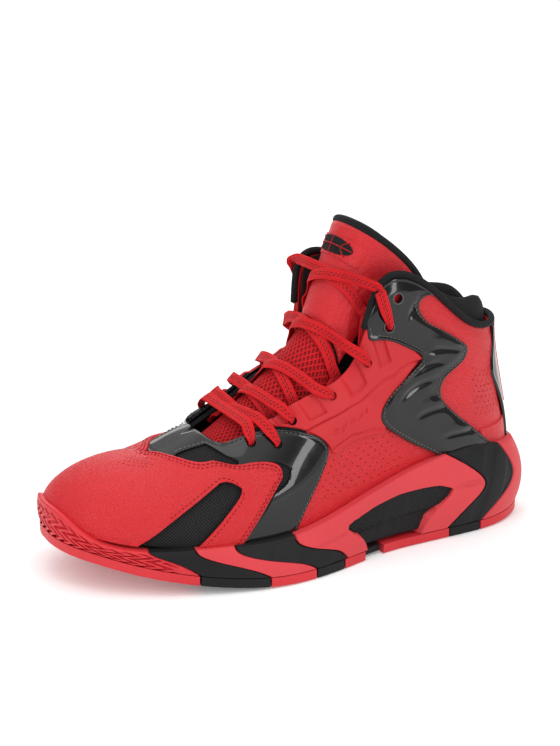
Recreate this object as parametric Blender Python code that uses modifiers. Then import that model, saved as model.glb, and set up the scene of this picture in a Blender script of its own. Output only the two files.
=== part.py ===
"""High-top basketball shoe, left foot: sole unit, layered upper, tongue, lace and eyelets.

The upper is drawn on one last. surface(q, v, lift) gives its points: q counts stations round the shoe,
0 at the toe tip and 15 at the heel (negative on the medial side), v climbs from the feather line to the
top line, and lift is metres outward. Every panel is a patch of that surface with a thickness.
Metres, +Z up, toe to -Y, lateral side to +X, origin on the ground under the middle of the shoe.
"""
import bmesh
import bpy
from mathutils import Vector
import numpy as np

# Driving sizes, in metres. The tables below are in millimetres at these sizes and scale with them.
LENGTH = 0.306
WIDTH = 0.115
HEIGHT = 0.192
LEATHER = 0.0010  # every sheet of the upper
STIFFENER = 0.0008
LINING = 0.0018
COLLAR_PAD = 0.0070
GAP = 0.0005  # between layers
OUTSOLE = 0.0055
RIM_WALL = 0.0021  # the midsole wall at its top
CORE_INSET = 0.0030  # the core's side, inside the wall
BOARD = 0.0022
SOCKLINER = 0.0042
TONGUE_PAD = 0.0034
EYELET_BORE = 0.0026
BINDING = 0.0012  # radius of the piping
LACE_WIDTH = 0.0066
LACE_THICKNESS = 0.0012
LACE_INSIDE = 0.0016  # gap between the lining and the lace where it runs inside the shoe
LACE_OVER = 0.0029  # height of the lace's middle on the eyestay
LACE_OVER_RING = 0.0025  # more of that over a ringed hole
LACE_ON_TONGUE = 0.0018
LACE_STEP = 0.0019  # one strand crossing over another
SCALE = np.array((WIDTH / 0.115, LENGTH / 0.306, HEIGHT / 0.192))
MM = SCALE * 0.001
NOMINAL = 0.001
# Brings the middle of the shoe's box over the origin.
CENTRE = np.array((-3.5115, -1.0833, 0)) * MM

# Each layer of the upper is a sheet whose outer face stands this far out from the last's surface.
TRIM_LIFT = 0.0001
OVER_LIFT = TRIM_LIFT + GAP + LEATHER
TAB_LIFT = OVER_LIFT + GAP + LEATHER
BASE_LIFT = TRIM_LIFT - LEATHER - GAP
STIFF_LIFT = BASE_LIFT - LEATHER - GAP
LINING_LIFT = STIFF_LIFT - STIFFENER - GAP
ROOM_LIFT = LINING_LIFT - LINING
LACE_UNDER = ROOM_LIFT - LACE_INSIDE - LACE_THICKNESS / 2
WALL_LIFT = OVER_LIFT + 0.0006

# The last, at stations 0 (toe tip) to 15 (heel): feather line x, y, z, then the two handles of the section
# that climbs from it: outward and up at the bottom, outward and up at the top.
HEEL = 15
SECTIONS = np.array((
    (0, -147, 33, 6, 15, 30, 2),
    (18, -143, 32, 6, 15, 29, 2),
    (31.5, -131, 29, 5, 16, 28, 1),
    (39.5, -111, 24.5, 5, 20, 27, 0),
    (44, -88, 20.5, 4, 27, 27, 0),
    (46, -66, 18, 4, 32, 27, 1),
    (45.5, -43, 18, 4, 34, 16, -5),
    (43, -18, 19, 4, 34, 11, -10),
    (39, 8, 20, 3, 36, 8, -14),
    (36, 34, 22, 3, 38, 6, -18),
    (34, 57, 23, 3, 38, 1, -36),
    (33, 80, 24, 3, 38, -1, -34),
    (31.5, 101, 25, 3, 36, -1, -32),
    (26.5, 121, 26, 3, 36, -1, -32),
    (15.5, 136, 27, 3, 36, 0, -32),
    (0, 142, 27, 3, 36, 0, -32),
), float)
POLE = np.array((0, -93, 66.0))
THROAT = np.array((0, -66, 79.0))
POLE_STATION, THROAT_STATION, EYESTAY_STATION = 3, 5, 6
# The top line behind the throat, from station 6: eyestay edge, flap, collar, heel.
TOP_LINE = np.array((
    (21, -54, 78), (25, -28, 90), (28, -8, 100), (29, 19, 116), (31, 35, 157),
    (33, 62, 157), (31, 92, 133), (24, 113, 124), (13, 125, 124), (0, 129, 125),
), float)
# How far the medial side's top line stands from the mirrored lateral one: out, back, up.
MEDIAL_SHIFT = np.array((
    (0, 0, 0), (0, 0, 0), (0, 0, 0), (0, 0, 0), (0, 0, 0), (0, 0, 0), (0, -4, 3), (1, -5, 4), (1, -6, 4),
    (2, -10, 4), (4, -18, 3), (3, -16, 3), (0, -8, 2), (0, 0, 0), (0, 0, 0), (0, 0, 0),
), float)
# The sole's edge on the ground: x, y, and how far it is sprung off the ground.
SOLE_EDGE = np.array((
    (0, -150, 21), (20, -146.5, 20), (35, -135, 17.5), (45.5, -115, 12), (52, -90, 6.5), (56, -64, 2.5),
    (57.5, -38, 0.4), (54, -12, 0), (47, 14, 0), (41, 38, 0), (39.3, 60, 0), (38.6, 82, 0),
    (37.5, 103, 0), (33, 124, 0.6), (20, 143, 2), (0, 150, 3),
), float)
# The midsole wall's rim: its height on the upper, and how far the wall swells out below it.
RIM = np.array((
    (42, 0.5), (40, 1), (31, 1), (26, 1), (25, 1), (25, 1), (25, 1), (27, 1),
    (33, 1), (41, 1), (47, 1.5), (52, 2), (54, 3), (51, 4), (48, 5), (47, 5),
), float)
# The middle of the shoe, seen from above: x at evenly spaced y.
SPINE = np.array(((-15, -152), (-8.5, -120), (-2, -88), (2.5, -56), (4.5, -24), (4.5, 8), (3, 40), (1.5, 72),
                  (0.5, 104), (0, 136)), float)


def spline(rows, at):
    """A smooth curve through evenly spaced rows, with no bend at its two ends. at counts rows."""
    count = len(rows)
    system = np.zeros((count, count))
    right = np.zeros_like(rows)
    for i in range(1, count - 1):
        system[i, i - 1:i + 2] = 1, 4, 1
        right[i] = 3 * (rows[i + 1] - rows[i - 1])
    system[0, :2] = 2, 1
    right[0] = 3 * (rows[1] - rows[0])
    system[-1, -2:] = 1, 2
    right[-1] = 3 * (rows[-1] - rows[-2])
    slope = np.linalg.solve(system, right)
    at = np.clip(np.asarray(at, float), 0, count - 1)
    row = np.clip(at.astype(int), 0, count - 2)
    f = (at - row)[..., None]
    return ((1 + 2 * f) * (1 - f) ** 2 * rows[row] + f * (1 - f) ** 2 * slope[row]
            + f * f * (3 - 2 * f) * rows[row + 1] - f * f * (1 - f) * slope[row + 1])


def both_ends(rows, odd):
    """The rows with three more past each end, mirrored there. Columns in odd change sign."""
    sign = np.ones(rows.shape[1])
    sign[list(odd)] = -1
    return np.concatenate([rows[3:0:-1] * sign, rows, rows[-2:-5:-1] * sign])


def station(rows, k, odd=()):
    return spline(both_ends(rows, odd), np.asarray(k, float) + 3)


def sole_edge(k):
    line = station(SOLE_EDGE, k, (0,))
    line[..., 2] = np.maximum(line[..., 2], 0)
    return line


def unit(a):
    return a / np.maximum(np.linalg.norm(a, axis=-1, keepdims=True), 1e-12)


def smoothstep(x):
    x = np.clip(x, 0, 1)
    return x * x * (3 - 2 * x)


def top_line(k):
    """The last's top line in millimetres: pole, ridge, round throat, then the spline of TOP_LINE."""
    k = np.abs(np.asarray(k, float))
    k = np.where(k > HEEL, 2 * HEEL - k, k)
    rows = np.concatenate([TOP_LINE, TOP_LINE[-2:-5:-1] * (-1, 1, 1)])
    behind = spline(rows, k - EYESTAY_STATION)
    t = np.clip((k - POLE_STATION) / (THROAT_STATION - POLE_STATION), 0, 1)[..., None]
    ridge = POLE + (THROAT - POLE) * t
    f = np.clip(k - THROAT_STATION, 0, 1)[..., None]
    start = spline(rows, 0.0)
    leave, arrive = np.array((16, 8, 0.0)), (spline(rows, 0.01) - start) / 0.01
    throat = ((1 + 2 * f) * (1 - f) ** 2 * THROAT + f * (1 - f) ** 2 * leave
              + f * f * (3 - 2 * f) * start - f * f * (1 - f) * arrive)
    k = k[..., None]
    return np.where(k < THROAT_STATION, ridge, np.where(k < EYESTAY_STATION, throat, behind))


def feather(k):
    """Feather line in millimetres, and its outward direction seen from above."""
    line = station(SECTIONS[:, :3], k, (0,))
    step = station(SECTIONS[:, :2], k + 0.01, (0,)) - station(SECTIONS[:, :2], k - 0.01, (0,))
    return line, unit(np.stack([step[..., 1], -step[..., 0]], -1))


def half(k, v):
    """The last's surface on one side, in millimetres: x outward from the spine."""
    k, v = np.broadcast_arrays(np.asarray(k, float), np.asarray(v, float))
    low, out = feather(k)
    high = top_line(k)
    reach = station(SECTIONS[:, 3:], k)
    flip = np.where((k < 0) | (k > HEEL), -1.0, 1.0)[..., None]
    high = high * np.concatenate([flip, np.ones_like(flip), np.ones_like(flip)], -1)
    first = low + np.concatenate([out * reach[..., :1], reach[..., 1:2]], -1)
    second = high + np.concatenate([out * reach[..., 2:3], reach[..., 3:]], -1)
    v = v[..., None]
    w = np.minimum(v, 1)
    bend = (1 - w) ** 3 * low + 3 * w * (1 - w) ** 2 * first + 3 * w * w * (1 - w) * second + w ** 3 * high
    return bend + 3 * (high - second) * (v - w)


def half_normal(k, v):
    k, v = np.broadcast_arrays(np.asarray(k, float), np.asarray(v, float))
    steady = np.where(k < POLE_STATION + 0.2, np.minimum(v, 0.9), v)
    e = 0.004
    along = half(k + 5 * e, steady) - half(k - 5 * e, steady)
    up = half(k, np.where(v > 0.99, v, v + e)) - half(k, v - e)
    normal = unit(np.cross(along * SCALE, up * SCALE))
    near = np.clip((v - 0.8) / 0.2, 0, 1) * np.clip((POLE_STATION + 0.6 - k) / 0.6, 0, 1)
    near = (near * near * (3 - 2 * near))[..., None]
    normal = unit(normal * (1 - near) + np.array((0, -0.15, 1)) * near)
    centre = (v >= 1) & (k <= THROAT_STATION)
    normal[..., 0] = np.where(centre, 0, normal[..., 0])
    return unit(normal)


def spine(y):
    """x of the shoe's middle line at y, all in millimetres."""
    first, last = SPINE[0, 1], SPINE[-1, 1]
    return spline(SPINE[:, :1], (y - first) / (last - first) * (len(SPINE) - 1))[..., 0]


def fold(q):
    """Station and side of q, which runs 0 to 15 along the lateral side and 0 to -15 along the medial one."""
    q = np.mod(np.asarray(q, float) + HEEL, 2 * HEEL) - HEEL
    return np.abs(q), np.where(q < 0, -1.0, 1.0)


def placed(p, side):
    """Half coordinates in metres to the shoe's own: left foot, toe to -y."""
    middle = spine(p[..., 1] / MM[1]) * MM[0]
    return np.stack([middle + side * p[..., 0], p[..., 1], p[..., 2]], -1) + CENTRE


def surface(q, v, lift=0.0):
    """Point of the upper at station q and height v (0 feather, 1 top line), lift metres out."""
    q, v, lift = np.broadcast_arrays(np.asarray(q, float), np.asarray(v, float), np.asarray(lift, float))
    k, side = fold(q)
    shift = station(MEDIAL_SHIFT, k) * (np.minimum(v, 1) ** 2 * smoothstep(k - THROAT_STATION))[..., None]
    p = half(k, v) + np.where(side[..., None] < 0, shift, 0)
    centre = (v >= 1) & (k <= THROAT_STATION)
    p[..., 0] = np.where(centre, 0, p[..., 0])
    return placed(p * MM + half_normal(k, v) * lift[..., None], side)


def height_on_last(k, z):
    """v at which the last's surface passes z millimetres."""
    steps = np.linspace(0, 0.7, 71)
    heights = half(np.ravel(k)[:, None], steps)[..., 2]
    return np.array([np.interp(zz, hh, steps) for zz, hh in zip(np.ravel(z), heights)]).reshape(np.shape(k))


def wall_outer(q, w):
    """Outer face of the midsole wall: w runs 0 at the outsole to 1 at the rim."""
    k, side = fold(q)
    k, w, side = np.broadcast_arrays(k, np.asarray(w, float), side)
    edge = sole_edge(k) * MM
    edge[..., 2] += OUTSOLE + GAP
    rim = station(RIM, k)
    v = height_on_last(k, rim[..., 0])
    top = half(k, v) * MM + half_normal(k, v) * (WALL_LIFT + RIM_WALL)
    _, out = feather(k)
    w = w[..., None]
    p = edge + (top - edge) * w
    p[..., :2] += out * rim[..., 1:] * NOMINAL * 4 * w * (1 - w)
    return placed(p, side)


def wall_inner(q, w):
    """Inner face of the same wall: up beside the midsole core, out under the upper's edge, then up along it."""
    k, side = fold(q)
    k, w, side = np.broadcast_arrays(k, np.asarray(w, float), side)
    rim_v = height_on_last(k, station(RIM, k)[..., 0])
    line, out = feather(k)
    low = line * MM
    low[..., :2] -= out * CORE_INSET * 0.7
    floor = low.copy()
    floor[..., 2] = sole_edge(k)[..., 2] * MM[2] + OUTSOLE + GAP
    low[..., 2] -= 0.0007
    rise = np.clip((w - 0.4) / 0.6, 0, 1)
    v = 0.008 + (rim_v - 0.008) * rise
    high = half(k, v) * MM + half_normal(k, v) * WALL_LIFT
    lower = np.clip(w / 0.2, 0, 1)[..., None]
    p = np.where((w < 0.3)[..., None], floor + (low - floor) * lower, high)
    return placed(p, side)




# ---------------------------------------------------------------------------- materials and builders

LOOKS = {
    "red_leather": ((0.62, 0.012, 0.018), 0.42, 0.0),
    "red_rubber": ((0.60, 0.035, 0.04), 0.5, 0.0),
    "coral_foam": ((0.66, 0.055, 0.06), 0.55, 0.0),
    "red_knit": ((0.5, 0.01, 0.014), 0.8, 0.0),
    "red_lace": ((0.62, 0.012, 0.016), 0.7, 0.0),
    "black_patent": ((0.012, 0.012, 0.013), 0.12, 0.0),
    "black_mesh": ((0.012, 0.012, 0.013), 0.75, 0.0),
    "black_rubber": ((0.018, 0.018, 0.02), 0.5, 0.0),
    "board": ((0.35, 0.27, 0.18), 0.8, 0.0),
    "stiffener": ((0.5, 0.48, 0.44), 0.6, 0.0),
    "gunmetal": ((0.08, 0.08, 0.085), 0.3, 1.0),
}


def material(look):
    found = bpy.data.materials.get(look)
    if found:
        return found
    made = bpy.data.materials.new(look)
    made.use_nodes = True
    shader = made.node_tree.nodes["Principled BSDF"]
    colour, roughness, metallic = LOOKS[look]
    shader.inputs["Base Color"].default_value = (*colour, 1)
    shader.inputs["Roughness"].default_value = roughness
    shader.inputs["Metallic"].default_value = metallic
    made.diffuse_color = (*colour, 1)
    return made


def add(name, mesh, look, home, smooth=False):
    mesh.polygons.foreach_set("use_smooth", [smooth] * len(mesh.polygons))
    mesh.materials.append(material(look))
    piece = bpy.data.objects.new(name, mesh)
    home.objects.link(piece)
    return piece


def sheet(name, points, thickness, look, home):
    """A closed sheet: a grid laid on the outer points, Solidify adding its thickness inward."""
    along, across = points.shape[0] - 1, points.shape[1] - 1
    form = bmesh.new()
    bmesh.ops.create_grid(form, x_segments=along, y_segments=across, size=1)
    for vertex in form.verts:
        i = round((vertex.co.x + 1) / 2 * along)
        j = round((vertex.co.y + 1) / 2 * across)
        vertex.co = points[i, j]
    bmesh.ops.remove_doubles(form, verts=form.verts, dist=1e-6)
    mesh = bpy.data.meshes.new(name)
    form.to_mesh(mesh)
    form.free()
    piece = add(name, mesh, look, home)
    wall = piece.modifiers.new("thickness", "SOLIDIFY")
    wall.thickness = thickness
    wall.offset = -1
    return piece


def loft(name, outer, inner, look, home):
    """A closed solid between two unlike sections of the same grid, with a rim of quads between them."""
    rows, columns = outer.shape[:2]
    index = np.arange(rows * columns).reshape(rows, columns)
    quads = np.stack([index[:-1, :-1], index[1:, :-1], index[1:, 1:], index[:-1, 1:]], -1).reshape(-1, 4)
    rim = np.concatenate([index[:, 0], index[-1, 1:], index[-2::-1, -1], index[0, -2:0:-1]])
    after = np.roll(rim, -1)
    back = rows * columns
    along_w = np.abs(after - rim) == 1
    flip = along_w & (after < rim)
    one = np.where(flip[:, None], np.stack([after, rim, after + back], -1), np.stack([after, rim, rim + back],
                                                                                     -1))
    two = np.where(flip[:, None], np.stack([rim, rim + back, after + back], -1), np.stack([after, rim + back,
                                                                                           after + back], -1))
    faces = quads.tolist() + (quads[:, ::-1] + back).tolist() + one.tolist() + two.tolist()
    mesh = bpy.data.meshes.new(name)
    mesh.from_pydata(np.concatenate([outer.reshape(-1, 3), inner.reshape(-1, 3)]), [], faces)
    mesh.validate()
    return add(name, mesh, look, home)


def outline(corners, s, paired=False):
    """The point a fraction s of the way along a run of (q, v) corners, by length or by corner."""
    corners = np.array(corners, float)
    step = np.hypot(np.diff(corners[:, 0]) * 18, np.diff(corners[:, 1]) * 100)
    if paired:
        step = np.ones_like(step)
    reach = np.concatenate([[0], np.cumsum(step)])
    return np.stack([np.interp(s, reach / reach[-1], corners[:, i]) for i in (0, 1)], -1)


def patch(low, high, along, across, side):
    """(q, v) grid between two runs of corners; side 0 mirrors it over the toe or the heel into one patch."""
    first = -1 if side == 0 else 0
    s = np.linspace(first, 1, along + 1)
    w = np.linspace(0, 1, across + 1)[:, None]
    paired = len(low) == len(high)
    below = outline(low, np.abs(s), paired)[:, None]
    grid = below + (outline(high, np.abs(s), paired)[:, None] - below) * w
    sign = np.where(s < 0, -1, 1) if side == 0 else np.full_like(s, side)
    grid[..., 0] *= sign[:, None]
    return grid if side == 0 or side > 0 else grid[::-1]


def panel(name, low, high, lift, thickness, along, across, side, look, home):
    grid = patch(low, high, along, across, side)
    return sheet(name, surface(grid[..., 0], grid[..., 1], lift), thickness, look, home)


def cut(piece, cutters):
    """Cuts every solid of a hidden collection out of the piece."""
    hole = piece.modifiers.new("cut", "BOOLEAN")
    hole.operation = "DIFFERENCE"
    hole.operand_type = "COLLECTION"
    hole.collection = cutters
    hole.solver = "EXACT"


def hidden(name, home):
    group = bpy.data.collections.new(name)
    home.children.link(group)
    group.hide_render = True
    return group


def hide(piece):
    piece.hide_render = True
    piece.display_type = "WIRE"


# ---------------------------------------------------------------------------- outlines, as (q, v)

SIDES = (("lateral", 1), ("medial", -1))
# Blocks of the midsole wall: where each joint between blocks stands at five heights, bottom to rim.
JOINTS = {
    "toe": (4.25, 4.0, 3.66, 3.3, 3.15),
    "ball": (5.72, 5.35, 4.75, 4.3, 4.18),
    "joint": (6.85, 6.5, 5.8, 5.25, 5.15),
    "waist": (7.7, 7.5, 7.0, 6.65, 6.65),
    "arch": (11.0, 11.7, 12.25, 11.8, 11.1),
    "heel": (12.2, 12.85, 13.35, 13.3, 12.95),
}
WALL_BLOCKS = (
    ("midsole_ball_black", "toe", "ball", 5, "black_rubber"),
    ("midsole_joint_coral", "ball", "joint", 4, "coral_foam"),
    ("midsole_waist_black", "joint", "waist", 5, "black_rubber"),
    ("midsole_arch_coral", "waist", "arch", 15, "coral_foam"),
    ("midsole_chevron_black", "arch", "heel", 5, "black_rubber"),
)
WALL_ROWS = np.array((0, 0.2, 0.3, 0.5, 0.7, 0.85, 1))
WALL_JOINT = 0.02
# The window in the arch block and the black insert set into it: lower and upper edge, as (station, w).
WINDOW_LOW = ((7.95, 0.52), (8.26, 0.25), (8.32, -0.2), (9.9, -0.2), (10.36, 0.19), (10.7, 0.33),
              (11.1, 0.46))
WINDOW_HIGH = ((7.96, 0.62), (8.2, 0.71), (8.7, 0.75), (9.5, 0.74), (10.3, 0.68), (10.8, 0.63), (11.16, 0.56))
OUTSOLE_BLOCKS = (
    ("outsole_toe", 0.25, 4.25, 8, "red_rubber"),
    ("outsole_ball_black", 4.25, 5.72, 3, "black_rubber"),
    ("outsole_joint_red", 5.72, 6.85, 3, "red_rubber"),
    ("outsole_waist_black", 6.85, 7.62, 2, "black_rubber"),
    ("outsole_waist_tip", 7.62, 8.28, 2, "red_rubber"),
    ("outsole_heel_front", 8.85, 11.05, 4, "red_rubber"),
    ("outsole_heel_black", 11.05, 12.15, 2, "black_rubber"),
    ("outsole_heel_back", 12.15, 14.75, 6, "red_rubber"),
)
CAP_LOW = tuple((k, 0.03) for k in (0, 0.7, 1.4, 2.0, 2.5, 2.8, 3.0, 3.2, 3.4, 3.55, 3.7, 3.85, 4.0, 4.2, 4.4,
                                    4.65, 4.9, 5.1, 5.3))
CAP_HIGH = ((0, 1), (0.7, 1), (1.4, 1), (2.1, 1), (2.7, 1), (3.0, 1), (3.45, 1), (3.8, 0.88), (4.05, 0.82),
            (4.25, 0.75),
            (4.5, 0.68), (4.9, 0.66), (5.3, 0.65), (5.75, 0.64), (6.15, 0.62), (6.45, 0.6), (6.62, 0.56),
            (6.68, 0.5), (6.64, 0.44))
SLIT_LOW = ((3.0, -0.05), (3.9, -0.05), (4.35, 0.1), (4.88, 0.21), (5.43, 0.35))
SLIT_HIGH = ((2.95, 0.05), (3.52, 0.23), (3.98, 0.32), (4.82, 0.42), (5.55, 0.46))
SADDLE_FRONT = ((3.44, 1), (3.75, 0.84), (4.1, 0.73), (4.5, 0.62), (5.1, 0.59), (5.7, 0.575), (6.2, 0.56),
                (6.45, 0.5),
                (6.4, 0.4), (6.1, 0.27), (5.7, 0.15), (5.3, 0.03))
SADDLE_REAR = ((4.75, 1), (5.05, 0.965), (5.45, 0.955), (5.95, 0.955), (6.4, 0.93), (6.9, 0.83), (7.45, 0.71),
               (7.95, 0.6),
               (8.03, 0.49), (7.6, 0.36), (7.1, 0.21), (6.7, 0.03))
VAMP_TOP = ((0, 1), (0.6, 1), (1.2, 1), (1.8, 1), (2.4, 1), (3.0, 1), (3.5, 1), (4.0, 1), (4.4, 1), (4.75, 1),
            (5.05, 0.955),
            (5.35, 0.945), (5.7, 0.94), (6.1, 0.95), (6.5, 0.97), (7.0, 0.985), (7.5, 0.985), (8.0, 0.985))
LINING_DROP = 0.015
ALMOND = (((4.1, 0.62), (4.7, 0.5), (5.9, 0.5)), ((4.1, 0.82), (4.72, 0.77), (5.58, 0.81), (5.95, 0.68)))
TEARDROP = (((6.3, 0.35), (6.6, 0.37), (6.84, 0.41)), ((6.3, 0.64), (6.6, 0.58), (6.92, 0.49)))
CAGE_LOW = ((6.62, 0.93), (7.1, 0.81), (7.6, 0.71), (8.05, 0.62), (8.22, 0.54), (8.65, 0.535), (9.1, 0.5),
            (9.35, 0.47))
CAGE_HIGH = ((6.75, 0.965), (7.4, 0.985), (8.6, 0.985), (9.2, 0.985), (9.55, 0.975), (9.75, 0.85),
             (10.3, 0.72), (10.9, 0.63))
STRAP_FRONT = ((9.5, 0.985), (9.5, 0.93), (9.5, 0.88), (9.62, 0.83), (9.95, 0.75), (10.5, 0.672),
               (10.7, 0.655), (10.84, 0.645),
               (10.82, 0.615), (10.5, 0.57), (10.15, 0.54), (9.8, 0.53), (9.48, 0.525), (9.33, 0.48),
               (9.6, 0.39), (10.2, 0.29), (10.62, 0.247),
               (11.05, 0.205), (11.32, 0.152), (11.6, 0.1))
STRAP_REAR = ((11.3, 0.985), (11.05, 0.93), (10.9, 0.87), (10.95, 0.825), (11.15, 0.8), (11.5, 0.825),
              (11.85, 0.845), (12.2, 0.845),
              (12.05, 0.755), (11.75, 0.67), (11.5, 0.61), (11.3, 0.555), (11.2, 0.51), (11.2, 0.465),
              (11.5, 0.425), (12.1, 0.37),
              (12.55, 0.292), (13.0, 0.215), (13.3, 0.157), (13.6, 0.1))
STRIP_EDGE = ((14.25, 0.1), (14.15, 0.33), (13.68, 0.52), (13.25, 0.66), (13.35, 0.76), (13.7, 0.86),
              (13.85, 0.985))
EYELETS = ((6.3, 0.81), (6.77, 0.70), (7.33, 0.83), (8.43, 0.87), (9.36, 0.8), (10.12, 0.79), (10.42, 0.89))
RINGED = 5

# The tongue's middle line as (y, z) in millimetres, and at each point its half-width, crown and straight wing.
TONGUE = np.array((
    (-63, 69, 18.5, 9, 0), (-47, 81, 21.5, 17, 0), (-31, 95, 22.6, 22, 0), (-14, 110, 22, 22, 0),
    (1, 126, 20.5, 18, 3),
    (10, 143, 20.5, 15, 12), (17, 160, 21, 14, 26), (24, 176, 22, 14, 38), (30, 190, 23, 13, 44),
), float)
TONGUE_HINGE = 0.02
TONGUE_SPLIT = 0.56


def tongue(s, t, lift=0.0):
    """Point of the tongue's outer face: s runs -1 medial to 1 lateral, t from its seam to its top edge."""
    s, t = np.broadcast_arrays(np.asarray(s, float), np.asarray(t, float))
    last = len(TONGUE) - 1
    t = t * (1 - 0.14 * np.abs(s) ** 1.8)
    row = spline(TONGUE, t * last)
    run = unit(spline(TONGUE[:, :2], np.clip(t * last + 0.05, 0, last)) - spline(TONGUE[:, :2],
                                                                                 np.clip(t * last - 0.05, 0,
                                                                                         last)))
    into = np.stack([run[..., 1], -run[..., 0]], -1)
    wide, deep, wing = row[..., 2], row[..., 3], np.maximum(row[..., 4], 0)
    arc = np.pi / 2 * np.sqrt((wide * wide + deep * deep) / 2)
    length = np.abs(s) * (arc * np.where(wing > 0, 1, 0.98) + wing)
    turn = np.clip(length / arc, 0, 1) * np.pi / 2
    past = np.clip(length - arc, 0, None)
    drop = deep * (1 - np.cos(turn)) + past - lift / NOMINAL * np.cos(turn)
    x = np.sign(s) * (wide * np.sin(turn) + lift / NOMINAL * np.sin(turn))
    middle = spine(row[..., 0]) * smoothstep(1 - t)
    p = np.stack([x + middle, row[..., 0] + into[..., 0] * drop, row[..., 1] + into[..., 1] * drop], -1)
    return p * MM + CENTRE


# ---------------------------------------------------------------------------- the shoe

for old in list(bpy.data.objects):
    bpy.data.objects.remove(old)
scene = bpy.context.scene
shoe = bpy.data.collections.new("basketball_high_top")
scene.collection.children.link(shoe)
eyelet_cutters = hidden("eyelet_cutters", shoe)
slit_cutters = hidden("slit_cutters", shoe)
saddle_cutters = hidden("saddle_cutters", shoe)
window_cutters = hidden("window_cutters", shoe)


# Sole: treads on the ground, a foam core on them, walls of coloured blocks round it.
def across_sole(k, s, inset, z):
    """Points across the sole at stations k: s -1 to 1, the edge moved in by inset, at height z (metres)."""
    line, out = feather(k)
    edge = line[..., :2] * MM[:2] - out * inset
    p = np.stack([edge[..., 0], edge[..., 1], z], -1)
    flat = placed(np.stack([np.zeros_like(z), p[..., 1], z], -1), 1.0)
    flat[..., 0] = flat[..., 0] + s * p[..., 0]
    return flat


for name, start, end, steps, look in OUTSOLE_BLOCKS:
    k = np.linspace(start + WALL_JOINT, end - WALL_JOINT, steps + 1)[:, None]
    s = np.linspace(-1, 1, 9)[None, :]
    edge = sole_edge(k) * MM
    half_points = np.broadcast_to(edge, (steps + 1, 9, 3)).copy()
    middle = placed(half_points * (0, 1, 1), 1.0)
    bottom = middle + np.stack([s * half_points[..., 0], 0 * half_points[..., 0], 0 * half_points[..., 0]],
                               -1)
    loft(name, bottom, bottom + (0, 0, OUTSOLE), look, shoe)

k = np.linspace(8.28 + 3 * WALL_JOINT, 8.85 - 3 * WALL_JOINT, 4)[:, None] * np.ones((1, 7))
s = np.linspace(-1, 1, 7)[None, :]
edge = sole_edge(k) * MM * (0.93, 1, 1)
middle = placed(edge * (0, 1, 1), 1.0)
middle[..., 0] += s * edge[..., 0]
loft("shank_bridge", middle + (0, 0, 0.0016), middle + (0, 0, OUTSOLE - 0.0002), "black_rubber", shoe)

k = np.linspace(0.45, 14.6, 33)[:, None] * np.ones((1, 7))
s = np.linspace(-1, 1, 7)[None, :] * np.ones((33, 1))
board_top = feather(k)[0][..., 2] * MM[2] - 0.0003
floor = sole_edge(k)[..., 2] * MM[2] + OUTSOLE + GAP
loft("midsole_core", across_sole(k, s, CORE_INSET, floor),
     across_sole(k, s, CORE_INSET, board_top - BOARD - GAP), "coral_foam", shoe)
loft("insole_board", across_sole(k, s, CORE_INSET, board_top - BOARD), across_sole(k, s, CORE_INSET,
                                                                                   board_top), "board", shoe)
k = np.linspace(1.0, 14.0, 29)[:, None] * np.ones((1, 7))
s = np.linspace(-1, 1, 7)[None, :] * np.ones((29, 1))
liner_inset = -ROOM_LIFT + 0.0026
liner_floor = feather(k)[0][..., 2] * MM[2] + 0.0003
sockliner = loft("sockliner", across_sole(k, s, liner_inset, liner_floor),
                 across_sole(k, s, liner_inset, liner_floor + SOCKLINER), "black_mesh", shoe)


def joint_line(name, w):
    heights = np.linspace(0, 1, 5)
    rows = np.array(JOINTS[name], float)[:, None]
    return spline(rows, np.clip(w, 0, 1) * (len(heights) - 1))[..., 0]


def wall_block(name, first, second, steps, look, home):
    w = WALL_ROWS[None, :] * np.ones((steps + 1, 1))
    s = np.linspace(0, 1, steps + 1)[:, None]
    q = first(w) + (second(w) - first(w)) * s
    return loft(name, wall_outer(q, w), wall_inner(q, w), look, home)


def edge_of(name, side, shift):
    return lambda w: side * (joint_line(name, w) + shift)


wall_block("toe_bumper", edge_of("toe", -1, -WALL_JOINT), edge_of("toe", 1, -WALL_JOINT), 22, "red_rubber",
           shoe)
wall_block("heel_bumper", edge_of("heel", 1, WALL_JOINT), lambda w: 2 * HEEL - joint_line("heel", w)
           - WALL_JOINT,
           10, "coral_foam", shoe)


def window_grid(side, grow):
    """(q, w) over the arch window, its outline grown by a share about its middle."""
    q, w = np.moveaxis(patch(WINDOW_LOW, WINDOW_HIGH, 14, 4, 1), -1, 0)
    middle = w.mean(axis=1, keepdims=True)
    centre = (q.min() + q.max()) / 2
    q = side * (centre + (q - centre) * (1 + grow * 0.6))
    return (q if side > 0 else q[::-1]), (middle + (w - middle) * (1 + grow))[::side]


def sideways(q):
    """Horizontal direction out of the wall at q."""
    k, side = fold(q)
    out = feather(k)[1]
    return np.stack([side * out[..., 0], out[..., 1], np.zeros_like(k)], -1)


for label, side in SIDES:
    for name, first, second, steps, look in WALL_BLOCKS:
        edges = edge_of(first, side, WALL_JOINT), edge_of(second, side, -WALL_JOINT)
        block = wall_block(f"{name}_{label}", *(edges if side > 0 else edges[::-1]), steps, look, shoe)
        if name == "midsole_arch_coral":
            cut(block, window_cutters)
    q, w = window_grid(side, 0)
    face = wall_outer(q, w)
    hide(loft(f"window_cutter_{label}", face + sideways(q) * 0.006, face - sideways(q) * 0.02, "coral_foam",
              window_cutters))
    q, w = window_grid(side, -0.26)
    w = np.maximum(w, 0.04)
    face, back = wall_outer(q, w), wall_inner(q, w)
    loft(f"shank_insert_{label}", back + (face - back) * 0.62, back + (face - back) * 0.15, "black_rubber",
         shoe)

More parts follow.
